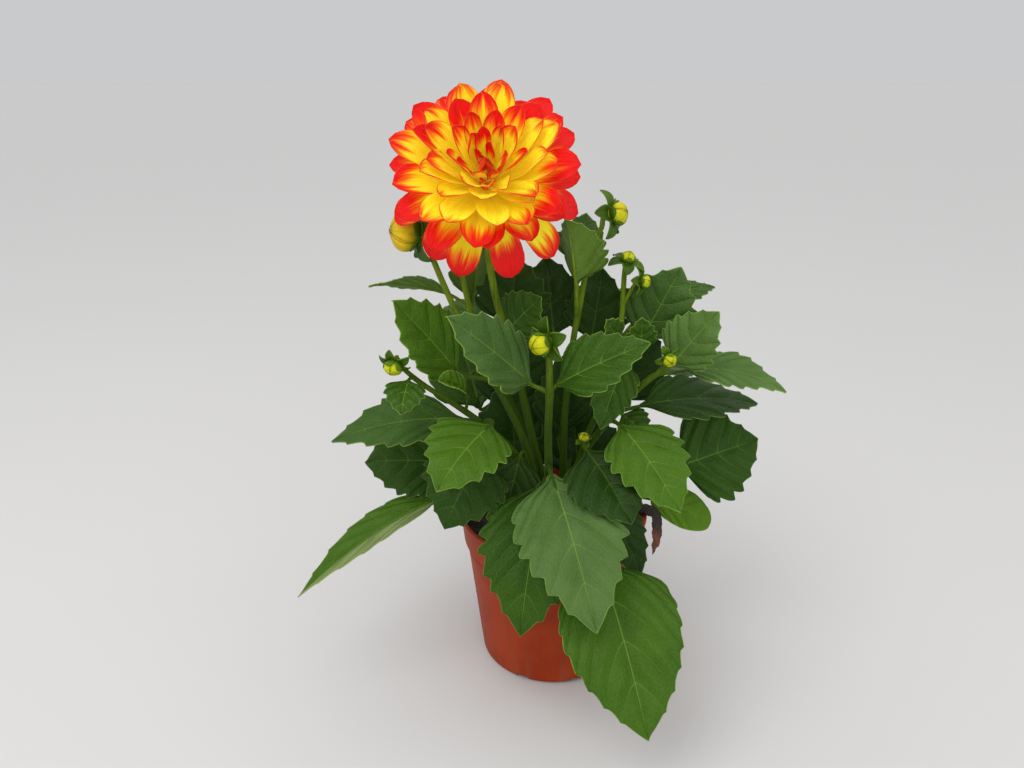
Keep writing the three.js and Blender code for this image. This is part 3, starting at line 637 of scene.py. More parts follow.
def buildPot():
    p = pot
    rimMiddle = (p["rim"] - p["lip"], p["height"] - p["lip"])
    step = p["bandHeight"]
    taper = (p["step"] - p["foot"] - p["footRound"]) / (step - p["footRound"])
    ribs = [
        (p["step"] - taper * down + p["rib"] * bump, step - down)
        for down, bump in ((7.0, 0), (6.4, 1), (5.2, 1), (4.6, 0))
    ]
    profile = [
        (0, 0.5), (p["foot"] - 8, 0.5), (p["foot"] - 6.5, 0),
        *arc((p["foot"], p["footRound"]), p["footRound"], -90, -8, 7),
        *ribs,
        (p["step"] - 0.2, step - 2.6), (p["step"] + 0.2, step - 1.6), (p["band"] - 0.5, step - 0.5),
        (p["band"], step + 0.3), (p["band"] + 0.25, step + 1.6), (p["rim"] - 0.75, p["height"] - 4.5),
        *arc(rimMiddle, p["lip"], -20, 180, 12),
        (p["rim"] - 2.75, p["height"] - 5), (p["band"] - p["wall"], step), (p["step"] - 1.6, step - 3),
        (p["foot"] + 1.5, p["footRound"] + 0.6), (p["foot"] - 3, p["floor"] + 0.2), (0, p["floor"]),
    ]
    piece = turned("nurseryPot", profile, p["sides"], potSkin)
    cutters = []
    for k in range(p["drains"]):
        turn = math.radians(360 / p["drains"] * (k + 0.42))
        out = (p["foot"] + 1) * mm
        cutters.append(fresh(
            "drainCutter", bpy.ops.mesh.primitive_cube_add, size=1,
            location=(out * math.cos(turn), out * math.sin(turn), 0), rotation=(0, 0, turn),
            scale=(16 * mm, p["drainWidth"] * mm, 2 * p["drainHeight"] * mm),
        ))
    cutter = joinAll(cutters, "drainCutter")
    activate(cutter)
    bpy.ops.object.transform_apply(location=True, rotation=True, scale=True)
    applyModifier(cutter, "BEVEL", width=p["drainRound"] * mm, segments=3, limit_method="ANGLE")
    applyModifier(piece, "BOOLEAN", object=cutter, operation="DIFFERENCE", solver="EXACT")
    bpy.data.objects.remove(cutter)
    settle(wear(piece, potSkin), "pot", angle=32)


soil = {
    "level": 99.0, "bumps": 1.6, "lumps": 2.2, "rings": 46, "sides": 150,
    "crumbs": 420, "crumbSizes": (0.5, 1.9), "crumbRoughness": 0.45, "crumbFlatness": 0.62,
}


def soilHeight(x, y):
    wave = math.sin(0.31 * x) + math.sin(0.37 * y + 0.11 * x)
    lump = noise.fractal(Vector((x, y, 0)) * 0.16, 1.0, 2.0, 4)
    return soil["level"] + soil["bumps"] / 2 * wave + soil["lumps"] * lump - 0.6


def buildSoil():
    s = soil
    rim = pot["band"] - 1.5
    top = [(rim * (1 - k / s["rings"]), s["level"]) for k in range(s["rings"] + 1)]
    profile = [
        (0, pot["floor"] + 0.4), (pot["foot"] - 1.6, pot["footRound"] + 0.6),
        (pot["step"] - 2.2, pot["bandHeight"] - 3.2), (pot["band"] - 2.4, pot["bandHeight"]),
        (rim, s["level"] - 4), *top,
    ]
    piece = turned("pottingSoil", profile, s["sides"], soilSkin)
    for vertex in piece.data.vertices:
        x, y, z = vertex.co / mm
        if z > s["level"] - 0.5:
            near = 1 - max(0.0, math.hypot(x, y) - rim + 3) / 3
            vertex.co.z = mix(s["level"] - 1.5, soilHeight(x, y), near) * mm
    crumb = fresh("crumb", bpy.ops.mesh.primitive_ico_sphere_add, subdivisions=1, radius=1)
    crumbs = [piece]
    for k in range(s["crumbs"]):
        reach = 0.97 * rim * math.sqrt(scatter(k + 900))
        turn = 2 * math.pi * scatter(k + 2900)
        x, y = reach * math.cos(turn), reach * math.sin(turn)
        size = mix(*s["crumbSizes"], float(scatter(k + 4900)) ** 3)
        copy = copyOf(crumb)
        z = soilHeight(x, y) + 0.25 * size
        for vertex in copy.data.vertices:
            rough = 1 + s["crumbRoughness"] * noise.noise(vertex.co * 1.6 + Vector((k, 0, 0)))
            flat = Vector((1.0 + 0.4 * scatter(k + 40), 1.0, s["crumbFlatness"]))
            vertex.co = (Vector((x, y, z)) + vertex.co * flat * rough * size) * mm
        crumbs.append(copy)
    bpy.data.objects.remove(crumb)
    settle(wear(joinAll(crumbs, "pottingSoil"), soilSkin), "soil", angle=60)


# Leaves

blade = {
    "thickness": 0.5, "fullness": 0.75, "softness": 0.85,
    "foot": [(0, 0.07), (0.05, 0.15), (0.09, 0.32), (0.15, 0.61), (0.2, 0.81)],
    "stalk": [(0, 1.25), (0.12, 0.95), (0.5, 0.8), (1, 0.66)],
    "rib": [(0, 0.64), (0.1, 0.5), (0.5, 0.3), (1, 0.12)],
    "toothStart": 0.2, "toothEnd": 0.89, "toothLean": 0.88,
    "veinSweep": 0.13, "quilting": 1.0, "waving": 1.4, "curl": -1.6, "ripple": 0.35,
    # what a leaf has unless the plant's list says otherwise
    "usual": {"teeth": 5, "depth": 0.17, "fold": 9, "lean": 0.33, "tone": 0.5, "cool": 0.1, "paleSide": 0},
}
bladeBlank = sheetBlank("bladeBlank", 30, 92)


def bladeOutline(share):
    return np.sin(np.pi * np.clip(share, 0, 1) ** blade["fullness"]) ** blade["softness"]


# Where a row that leaves the rib at a share of its length meets the margin, and back
def marginShare(share):
    q = 4 * blade["veinSweep"]
    return (-(1 - q) + np.sqrt((1 - q) ** 2 + 4 * q * share)) / (2 * q)


def ribShareOf(margin):
    return margin - 4 * blade["veinSweep"] * margin * (1 - margin)


# The margin's turning points, a notch and then a point that leans towards the tip. No two teeth are alike.
def toothPoints(teeth, seed):
    low, high = blade["toothStart"], blade["toothEnd"]
    notches = np.linspace(low, high, teeth + 1)
    notches[1:-1] += 0.3 * (high - low) / teeth * (scatter(seed * 7 + np.arange(teeth - 1)) - 0.5)
    return [(notch, mix(notch, after, blade["toothLean"])) for notch, after in zip(notches, notches[1:])]


def evenReach(margin):
    # the margin without its teeth, as a share of the greatest half width
    foot = readOff(blade["foot"], margin)
    return np.where(margin < blade["toothStart"], foot, bladeOutline(margin) * 0.975)


def marginReach(margin, side, teeth, depth, seed):
    if not teeth:
        return np.maximum(1 - (2 * margin ** 1.1 - 1) ** 2, 0) ** 0.5 * 0.98
    reach = evenReach(margin)
    for i, (notch, point) in enumerate(toothPoints(teeth, seed)):
        after = mix(notch, point, 1 / blade["toothLean"])
        cut = depth * mix(0.65, 1.25, scatter(seed * 11 + 2 * i + (side > 0))) * min(1.0, 2.4 * notch)
        low, end = [bladeOutline(share) * (1 - 0.65 * cut) for share in (notch, after)]
        high = bladeOutline(mix(notch, point, 0.85)) * (1 + 0.35 * cut)
        t = np.clip((margin - notch) / (point - notch), 0, 1)
        rise = mix(low, high, 1 - (1 - t) ** 1.8) + 0.02 * t * np.sin(np.pi * t)
        reach = np.where((margin >= notch) & (margin <= point), rise, reach)
        t = np.clip((margin - point) / (after - point), 0, 1)
        reach = np.where((margin > point) & (margin < after), mix(high, end, t ** 0.75), reach)
    last = blade["toothEnd"]
    t = np.clip((margin - last) / (1 - last), 0, 1)
    return np.where(margin >= last, bladeOutline(last) * (1 - 0.5 * depth) * (1 - t) ** 0.9, reach)


def rowShares(teeth, seed):
    # the blank's rows, with one moved to each notch and each point
    rows = np.linspace(0, 1, bladeBlank["row"].max() + 1)
    if not teeth:
        return rows
    last = 0
    for target in [ribShareOf(share) for tooth in toothPoints(teeth, seed) for share in tooth]:
        last = max(int(np.argmin(np.abs(rows - target))), last + 1)
        rows[last] = target
    return rows


def ribOf(leaf):
    base, tip = np.array(leaf["base"], float), np.array(leaf["tip"], float)
    middle = mix(base, tip, 0.5) + unit(leaf["face"]) * 2 * leaf["bow"]
    return [base, middle, tip]


def faceOf(face, along):
    # the direction that is square to the rib and nearest to where the leaf looks
    look = np.asarray(face, float)
    return unit(look - along * dot(look, along))


def leafSheet(leaf, seed):
    teeth, lean, fold = leaf["teeth"], leaf["lean"], math.radians(leaf["fold"])
    rib = ribOf(leaf)
    length = np.linalg.norm(rib[2] - rib[0])
    t = bladeBlank["t"]
    a = np.sign(t) * (1 - (1 - np.abs(t)) ** 1.2)
    out = np.abs(a)
    row = rowShares(teeth, seed)[bladeBlank["row"]]
    margin = marginShare(row)
    share = row + (margin - row) * out ** 1.3
    spine, along = follow(rib, share)
    normal = faceOf(leaf["face"], along)
    side = np.cross(along, normal)
    full = leaf["width"] / 2
    cut = marginReach(margin, a, teeth, leaf["depth"], seed)
    even = np.where(margin < blade["toothEnd"], evenReach(margin), cut) if teeth else cut
    ribMm = a * full * mix(even, cut, out ** 5)
    # each side vein leaves the rib well before the tooth that it ends in
    ends = np.array([ribShareOf(tooth[1]) for tooth in toothPoints(teeth or blade["usual"]["teeth"], seed)])
    starts = (ends - lean) / (1 - lean)
    gap = starts[1] - starts[0]
    keys = np.array([starts[0] - 2 * gap, starts[0] - gap, *starts, 1.0])
    numbers = np.array([-1, 0, *range(1, len(starts) + 1), len(starts) + 0.8])
    bend = lean * out ** 1.15
    level = (row - bend) / (1 - bend)
    phase = np.interp(level, keys, numbers)
    pitch = np.interp(level, (keys[1:] + keys[:-1]) / 2, np.diff(keys) / np.diff(numbers))
    size = full / 30
    lift = math.sin(fold) * (np.sqrt(ribMm ** 2 + 1.0) - 1)
    lift = lift + blade["quilting"] * size * np.sin(np.pi * phase) ** 2 * 4 * out * (1 - out)
    wave = np.sin(2 * np.pi * (1.4 * row + 0.2 * np.sign(a) + scatter(seed))) * out ** 2
    lift = lift + blade["waving"] * size * wave * smooth(0, 0.25, row)
    lift = lift + blade["curl"] * size * out ** 3 * np.sin(np.pi * row)
    lift = lift + blade["ripple"] * size * (np.sin(2 * np.pi * phase) * out ** 3) * smooth(0.1, 0.3, row)
    points = spine + side * (ribMm * math.cos(fold))[:, None] + normal * lift[:, None]
    ribWidth = mix(0.022 * full + 0.3, 0.16, row ** 0.5)
    return shaped(bladeBlank, points, {
        "ribMm": ribMm, "ribShare": np.abs(ribMm) / ribWidth, "edgeMm": full * cut - np.abs(ribMm),
        "outward": out, "veinPhase": phase, "veinPitch": 0.75 * pitch * (1 - bend) * length,
        "alongMm": row * length + 60 * scatter(seed + 50),
        "tone": leaf["tone"] + np.where(a * leaf["paleSide"] > 0.12, 0.95, 0),
        "cool": leaf["cool"], "baseShare": row,
    })


# A leaf's stalk as it leaves the stem, and the rib that stands out below the blade
def leafStalk(leaf, root):
    rib = ribOf(leaf)
    reach = np.linalg.norm(rib[0] - root) / 3
    away = unit((rib[0] - root) * [1, 1, 0])
    leaving = root + away * 0.6 * reach + up * 0.8 * reach
    arriving = rib[0] - unit(rib[1] - rib[0]) * reach
    stalk = bezier([root, leaving, arriving, rib[0]], np.linspace(0, 1, 14))
    thick = 0.8 + leaf["width"] / 45
    widths = readOff(blade["stalk"], np.linspace(0, 1, 14)) * thick
    share = np.linspace(0.03, 0.93, 18)
    ribRadii = readOff(blade["rib"], share) * thick
    spine, along = follow(rib, share)
    sunk = np.where(share < 0.1, 0.25, 0.8)[:, None] * ribRadii[:, None]
    under = spine - faceOf(leaf["face"], along) * sunk
    return np.vstack([stalk, under]), np.concatenate([widths, ribRadii])


# Buds, their cups and bracts

bract = {
    "thickness": 0.7, "width": 0.36, "cupping": 0.3,
    # the cup's outline, as shares of the bud's radius from its foot up
    "cup": [(-0.95, 0.2), (-0.7, 0.3), (-0.5, 0.46), (-0.32, 0.6), (-0.16, 0.7), (-0.05, 0.74), (0.0, 0.66)],
}
bractBlank = sheetBlank("bractBlank", 6, 14)


# One green bract that curls back from under a bud or the bloom
def bractSheet(top, turn, seed):
    seat, axis, radius, reach = top["seat"], top["axis"], top["radius"], top["reach"]
    out = spoke(axis, turn)
    swing = 0.8 + 0.4 * scatter(seed)
    start = seat + out * 0.45 * radius - axis * 0.25 * radius
    knee = seat + out * (0.45 * radius + 0.55 * reach) + axis * 0.12 * reach
    tip = seat + out * (0.3 * radius + reach) - axis * (0.12 * radius + 0.25 * reach * swing)
    t, share = bractBlank["t"], bractBlank["share"]
    spine, along = follow([start, knee, tip], share)
    side = unit(np.cross(along, axis))
    normal = np.cross(side, along)
    half = bract["width"] * reach * np.sin(np.pi * (0.12 + 0.88 * share) ** 0.95) ** 0.75
    lift = bract["cupping"] * half * t ** 2
    points = spine + side * (t * half)[:, None] + normal * lift[:, None]
    return shaped(bractBlank, points, {
        "along": share, "across": t, "edgeMm": half * (1 - np.abs(t)), "seed": seed * 1.7,
        "tone": 0.7 * scatter(seed + 7),
    })


def cupLine(top):
    places, widths = np.array(bract["cup"]).T * top["radius"]
    return top["seat"] + top["axis"] * places[:, None], widths


bud = {
    "thickness": 0.4, "ripeRadius": 9, "claspBracts": 5,
    "small": {
        "layers": [(0.88, 5), (0.97, 5)], "ridge": 0.05, "cover": 0.62,
        "dome": [(0, 0.62), (0.4, 1), (0.8, 0.72), (1, 0)],
    },
    "large": {
        "layers": [(0.88, 12), (0.96, 13)], "ridge": 0.08, "cover": 0.3,
        "dome": [(0, 0.62), (0.25, 0.95), (0.55, 1), (0.82, 0.7), (1, 0)],
    },
}
budBlank = sheetBlank("budBlank", 6, 16)


def kindOf(item):
    return bud["large" if item["radius"] > bud["ripeRadius"] else "small"]


def domeRadius(item, height):
    # a bud's radius at a share of its height
    fine = np.linspace(0, 1, 60)
    soft = readOff(kindOf(item)["dome"], fine)
    for _ in range(30):  # rounds the outline's corners
        soft[1:-1] = (soft[:-2] + 2 * soft[1:-1] + soft[2:]) / 4
    return np.interp(height, fine, soft) * item["radius"]


# Points at a share of the bud's height, at a turn round its axis and at a radius
def onBud(item, height, turn, radius):
    axis = item["axis"]
    middle = item["seat"] + axis * 0.3 + axis * (height * item["length"])[:, None]
    return middle + spoke(axis, turn) * radius[:, None]


# A sheet wrapped round the bud, as far to both sides of its middle as the spread
def budSheet(item, height, turn, spread, radius, **values):
    t, share = budBlank["t"], budBlank["share"]
    edge = radius * spread * (1 - np.abs(t))
    values = {"along": share, "across": t, "edgeMm": edge, **values}
    return shaped(budBlank, onBud(item, height, turn, radius), values)


def budPiece(name, item, seed):
    kind = kindOf(item)
    t, share = budBlank["t"], budBlank["share"]
    petals, clasp = [], []
    for layer, (scale, count) in enumerate(kind["layers"]):
        for k in range(count):
            number = seed * 40 + layer * 12 + k
            height = share * (1.0 - 0.10 * scatter(number))
            centre = 2 * np.pi * (k + 0.5 * layer + 0.16 * scatter(number + 3)) / count
            spread = 1.25 * np.pi / count * (1 - 0.12 * share)
            turn = centre + spread * t + 0.35 * share * (0.5 - scatter(number + 9))
            ridge = 1 + kind["ridge"] * (1 - t ** 2) - 0.02 * (t > 0)
            radius = domeRadius(item, np.clip(height, 0, 0.985)) * scale * ridge
            values = {"seed": number * 0.37, "gold": item.get("gold", 0.0)}
            petals.append(budSheet(item, height, turn, spread, radius, **values))
    # pale inner bracts still clasp the foot of the bud
    for k in range(bud["claspBracts"]):
        number = seed * 40 + 30 + k
        height = share * kind["cover"] * mix(0.85, 1.15, scatter(number))
        spread = 0.62 * np.sqrt(np.clip(1 - share ** 2.2, 0, 1))
        turn = 2 * np.pi * (k + 0.3) / bud["claspBracts"] + spread * t
        radius = domeRadius(item, height) * 1.06 + 0.25
        values = {"seed": number * 0.3, "tone": 0.3 + 0.6 * scatter(number)}
        clasp.append(budSheet(item, height, turn, spread, radius, **values))
    petals = outward(thickened(petals, name, bud["thickness"], budSkin))
    clasp = outward(thickened(clasp, name + "Clasp", bud["thickness"], bractSkin))
    heights = np.linspace(0.0, 0.96, 12)
    core = (onBud(item, heights, 0.0, 0 * heights), domeRadius(item, heights) * 0.86)
    middle = stalks("budCore", [core], budSkin, sides=4)
    settle(joinAll([petals, clasp, middle], name), "bud_" + item["node"])


# The bloom

bloom = {
    "centre": np.array([-44.0, -20.0, 338.0]), "axis": unit([0.02, -0.73, 0.68]), "back": 12.0,
    "thickness": 0.45, "droop": 22.0,
    "eye": {"count": 9, "rise": 76, "reach": 15, "half": 2.7, "red": 0.66},
    "outline": [
        (0, 0.2), (0.15, 0.38), (0.42, 0.74), (0.62, 0.93), (0.76, 0.97),
        (0.86, 0.88), (0.93, 0.62), (0.97, 0.38), (1, 0.0),
    ],
    "heart": [(-11.7, 7), (-10, 9.6), (-8, 10.8), (-3, 10.3), (1, 9.3), (3.5, 7), (5, 3.6)],
    "cup": {"radius": 10, "bracts": 6, "reach": 14},
}
# From the outermost ring to the innermost one. "rise" is how far the petals are raised from the flat, and
# "red" the share of a petal's length where its red tip begins.
ringKeys = ("count", "rise", "reach", "half", "turn", "red")
petalRings = [dict(zip(ringKeys, ring)) for ring in (
    (11, -25, 59, 10.5, -106, 0.72),
    (12, 14, 58, 10.5, -93, 0.75),
    (12, 27, 59, 10, -68, 0.79),
    (11, 39, 55, 9.5, -88, 0.83),
    (10, 49, 50, 8.6, 90, 0.84),
    (8, 60, 44, 6.6, 70, 0.76),
    (6, 71, 36, 5.0, 100, 0.7),
    (4, 80, 28, 3.8, 60, 0.68),
)]
petalBlank = sheetBlank("petalBlank", 12, 22)


# One petal that points out from the bloom's axis. The depth goes from 0 in the outermost ring to 1 inside.
def petalSheet(ring, depth, out, seed):
    axis, centre = bloom["axis"], bloom["centre"]
    chance = [scatter(seed + step) for step in (0, 100, 300, 400, 500, 600)]
    across = np.cross(out, axis)
    low = max(0.0, -float(np.dot(out, square(axis)[1])))  # 1 for a petal on the lower side of the bloom
    rise = math.radians(ring["rise"] + 10 * (chance[0] - 0.5) - bloom["droop"] * depth * low)
    reach = ring["reach"] * (1 + 0.1 * (chance[1] - 0.5))
    foot = np.array([mix(8, 1.5, depth), mix(-8, 1, depth)])
    tip = reach * np.array([math.cos(rise), math.sin(rise)])
    chord = tip - foot
    bow = unit([-chord[1], chord[0]]) * mix(9, -2, depth)
    t, share = petalBlank["t"], petalBlank["share"] ** 0.9
    line, slope = follow([foot, mix(foot, tip, 0.5) + bow, tip], share)
    normal = axis * slope[:, :1] - out * slope[:, 1:]
    outline = readOff(bloom["outline"], share)
    half = ring["half"] * outline
    sideways = t * half
    lift = np.abs(t) ** 1.7 * half * mix(0.2, 0.5, depth) * (0.6 + 0.8 * chance[2])
    lift = lift + 0.5 * np.sin(9 * share + 6 * chance[2]) * t ** 2 * outline
    lift = lift + mix(-1.5, 3.0, depth) * smooth(0.7, 1, share) * (2.2 * chance[3] - 0.5)
    sideways = sideways + 5 * depth * (chance[2] - 0.5) * share ** 2
    lift = lift + 0.25 * np.cos(3.5 * np.pi * t) * outline * smooth(0.1, 0.4, share)
    twist = t * half * mix(0.35, 1.1, depth) * (chance[4] - 0.5) * share
    points = centre + out * line[:, :1] + axis * line[:, 1:]
    points = points + across * sideways[:, None] + normal * (lift + twist)[:, None]
    return shaped(petalBlank, points, {
        "along": share, "across": t, "edgeMm": half * (1 - np.abs(t)) + 0.15, "seed": seed * 0.73,
        "blush": ring["red"] + 0.32 * (chance[5] - 0.5) + 0.22 * low * depth,
        "edging": 0.03 + 0.16 * chance[3] ** 3,
    })


def buildBloom():
    axis = bloom["axis"]
    sheets = []
    for i, ring in enumerate(petalRings):
        for k in range(ring["count"]):
            seed = i * 20 + k
            turn = ring["turn"] + 360 / ring["count"] * (k + 0.3 * (scatter(seed + 200) - 0.5))
            sheets.append(petalSheet(ring, i / (len(petalRings) - 1), spoke(axis, math.radians(turn)), seed))
    eye = bloom["eye"]
    for k in range(eye["count"]):  # small and rolled
        turn = 360 / eye["count"] * k + 15 * scatter(k + 777)
        rise, reach = eye["rise"] + 10 * scatter(k + 700), eye["reach"] + 9 * scatter(k + 720)
        ring = {**eye, "rise": rise, "reach": reach}
        sheets.append(petalSheet(ring, 1.0, spoke(axis, math.radians(turn)), 300 + k))
    petals = thickened(sheets, "bloomPetals", bloom["thickness"], petalTop, petalUnder)
    heights, radii = np.array(bloom["heart"]).T
    core = (bloom["centre"] + axis * heights[:, None], radii)
    heart = stalks("bloomHeart", [core], petalUnder, sides=6)
    settle(joinAll([petals, heart], "bloomPetals"), "bloom_petals")


# The plant, stem by stem. A leaf's stalk leaves its stem at the height "start", and its blade runs from
# "base" to "tip". "face" is where the upper side looks, "bow" lifts its middle and "fold" both halves.
# "tone" goes from 0, deep green, over 1, bright green, to 2, pale; it is partly the leaf's own green and
# partly painted shade, as the low tones stand for the shade on leaves deep inside the crown. "cool" adds a
# painted bluish sheen, a reflection of the sky painted into the colour. "depth" is how deep the teeth are
# cut, "lean" how far the side veins lean and "paleSide" the half that is paler.

def leaf(start, base, tip, width, bow, face, **more):
    place = {"start": start, "base": base, "tip": tip, "width": width, "bow": bow, "face": face}
    return {**place, **blade["usual"], **more}


def budOf(node, seat, axis, radius, length, bracts, reach, **more):
    return {
        "node": node, "seat": np.array(seat, float), "axis": unit(axis), "radius": radius, "length": length,
        "bracts": bracts, "reach": reach, **more,
    }


def stem(name, radius, route, leaves, buds=()):
    return {"name": name, "radius": radius, "route": route, "leaves": leaves, "buds": buds}


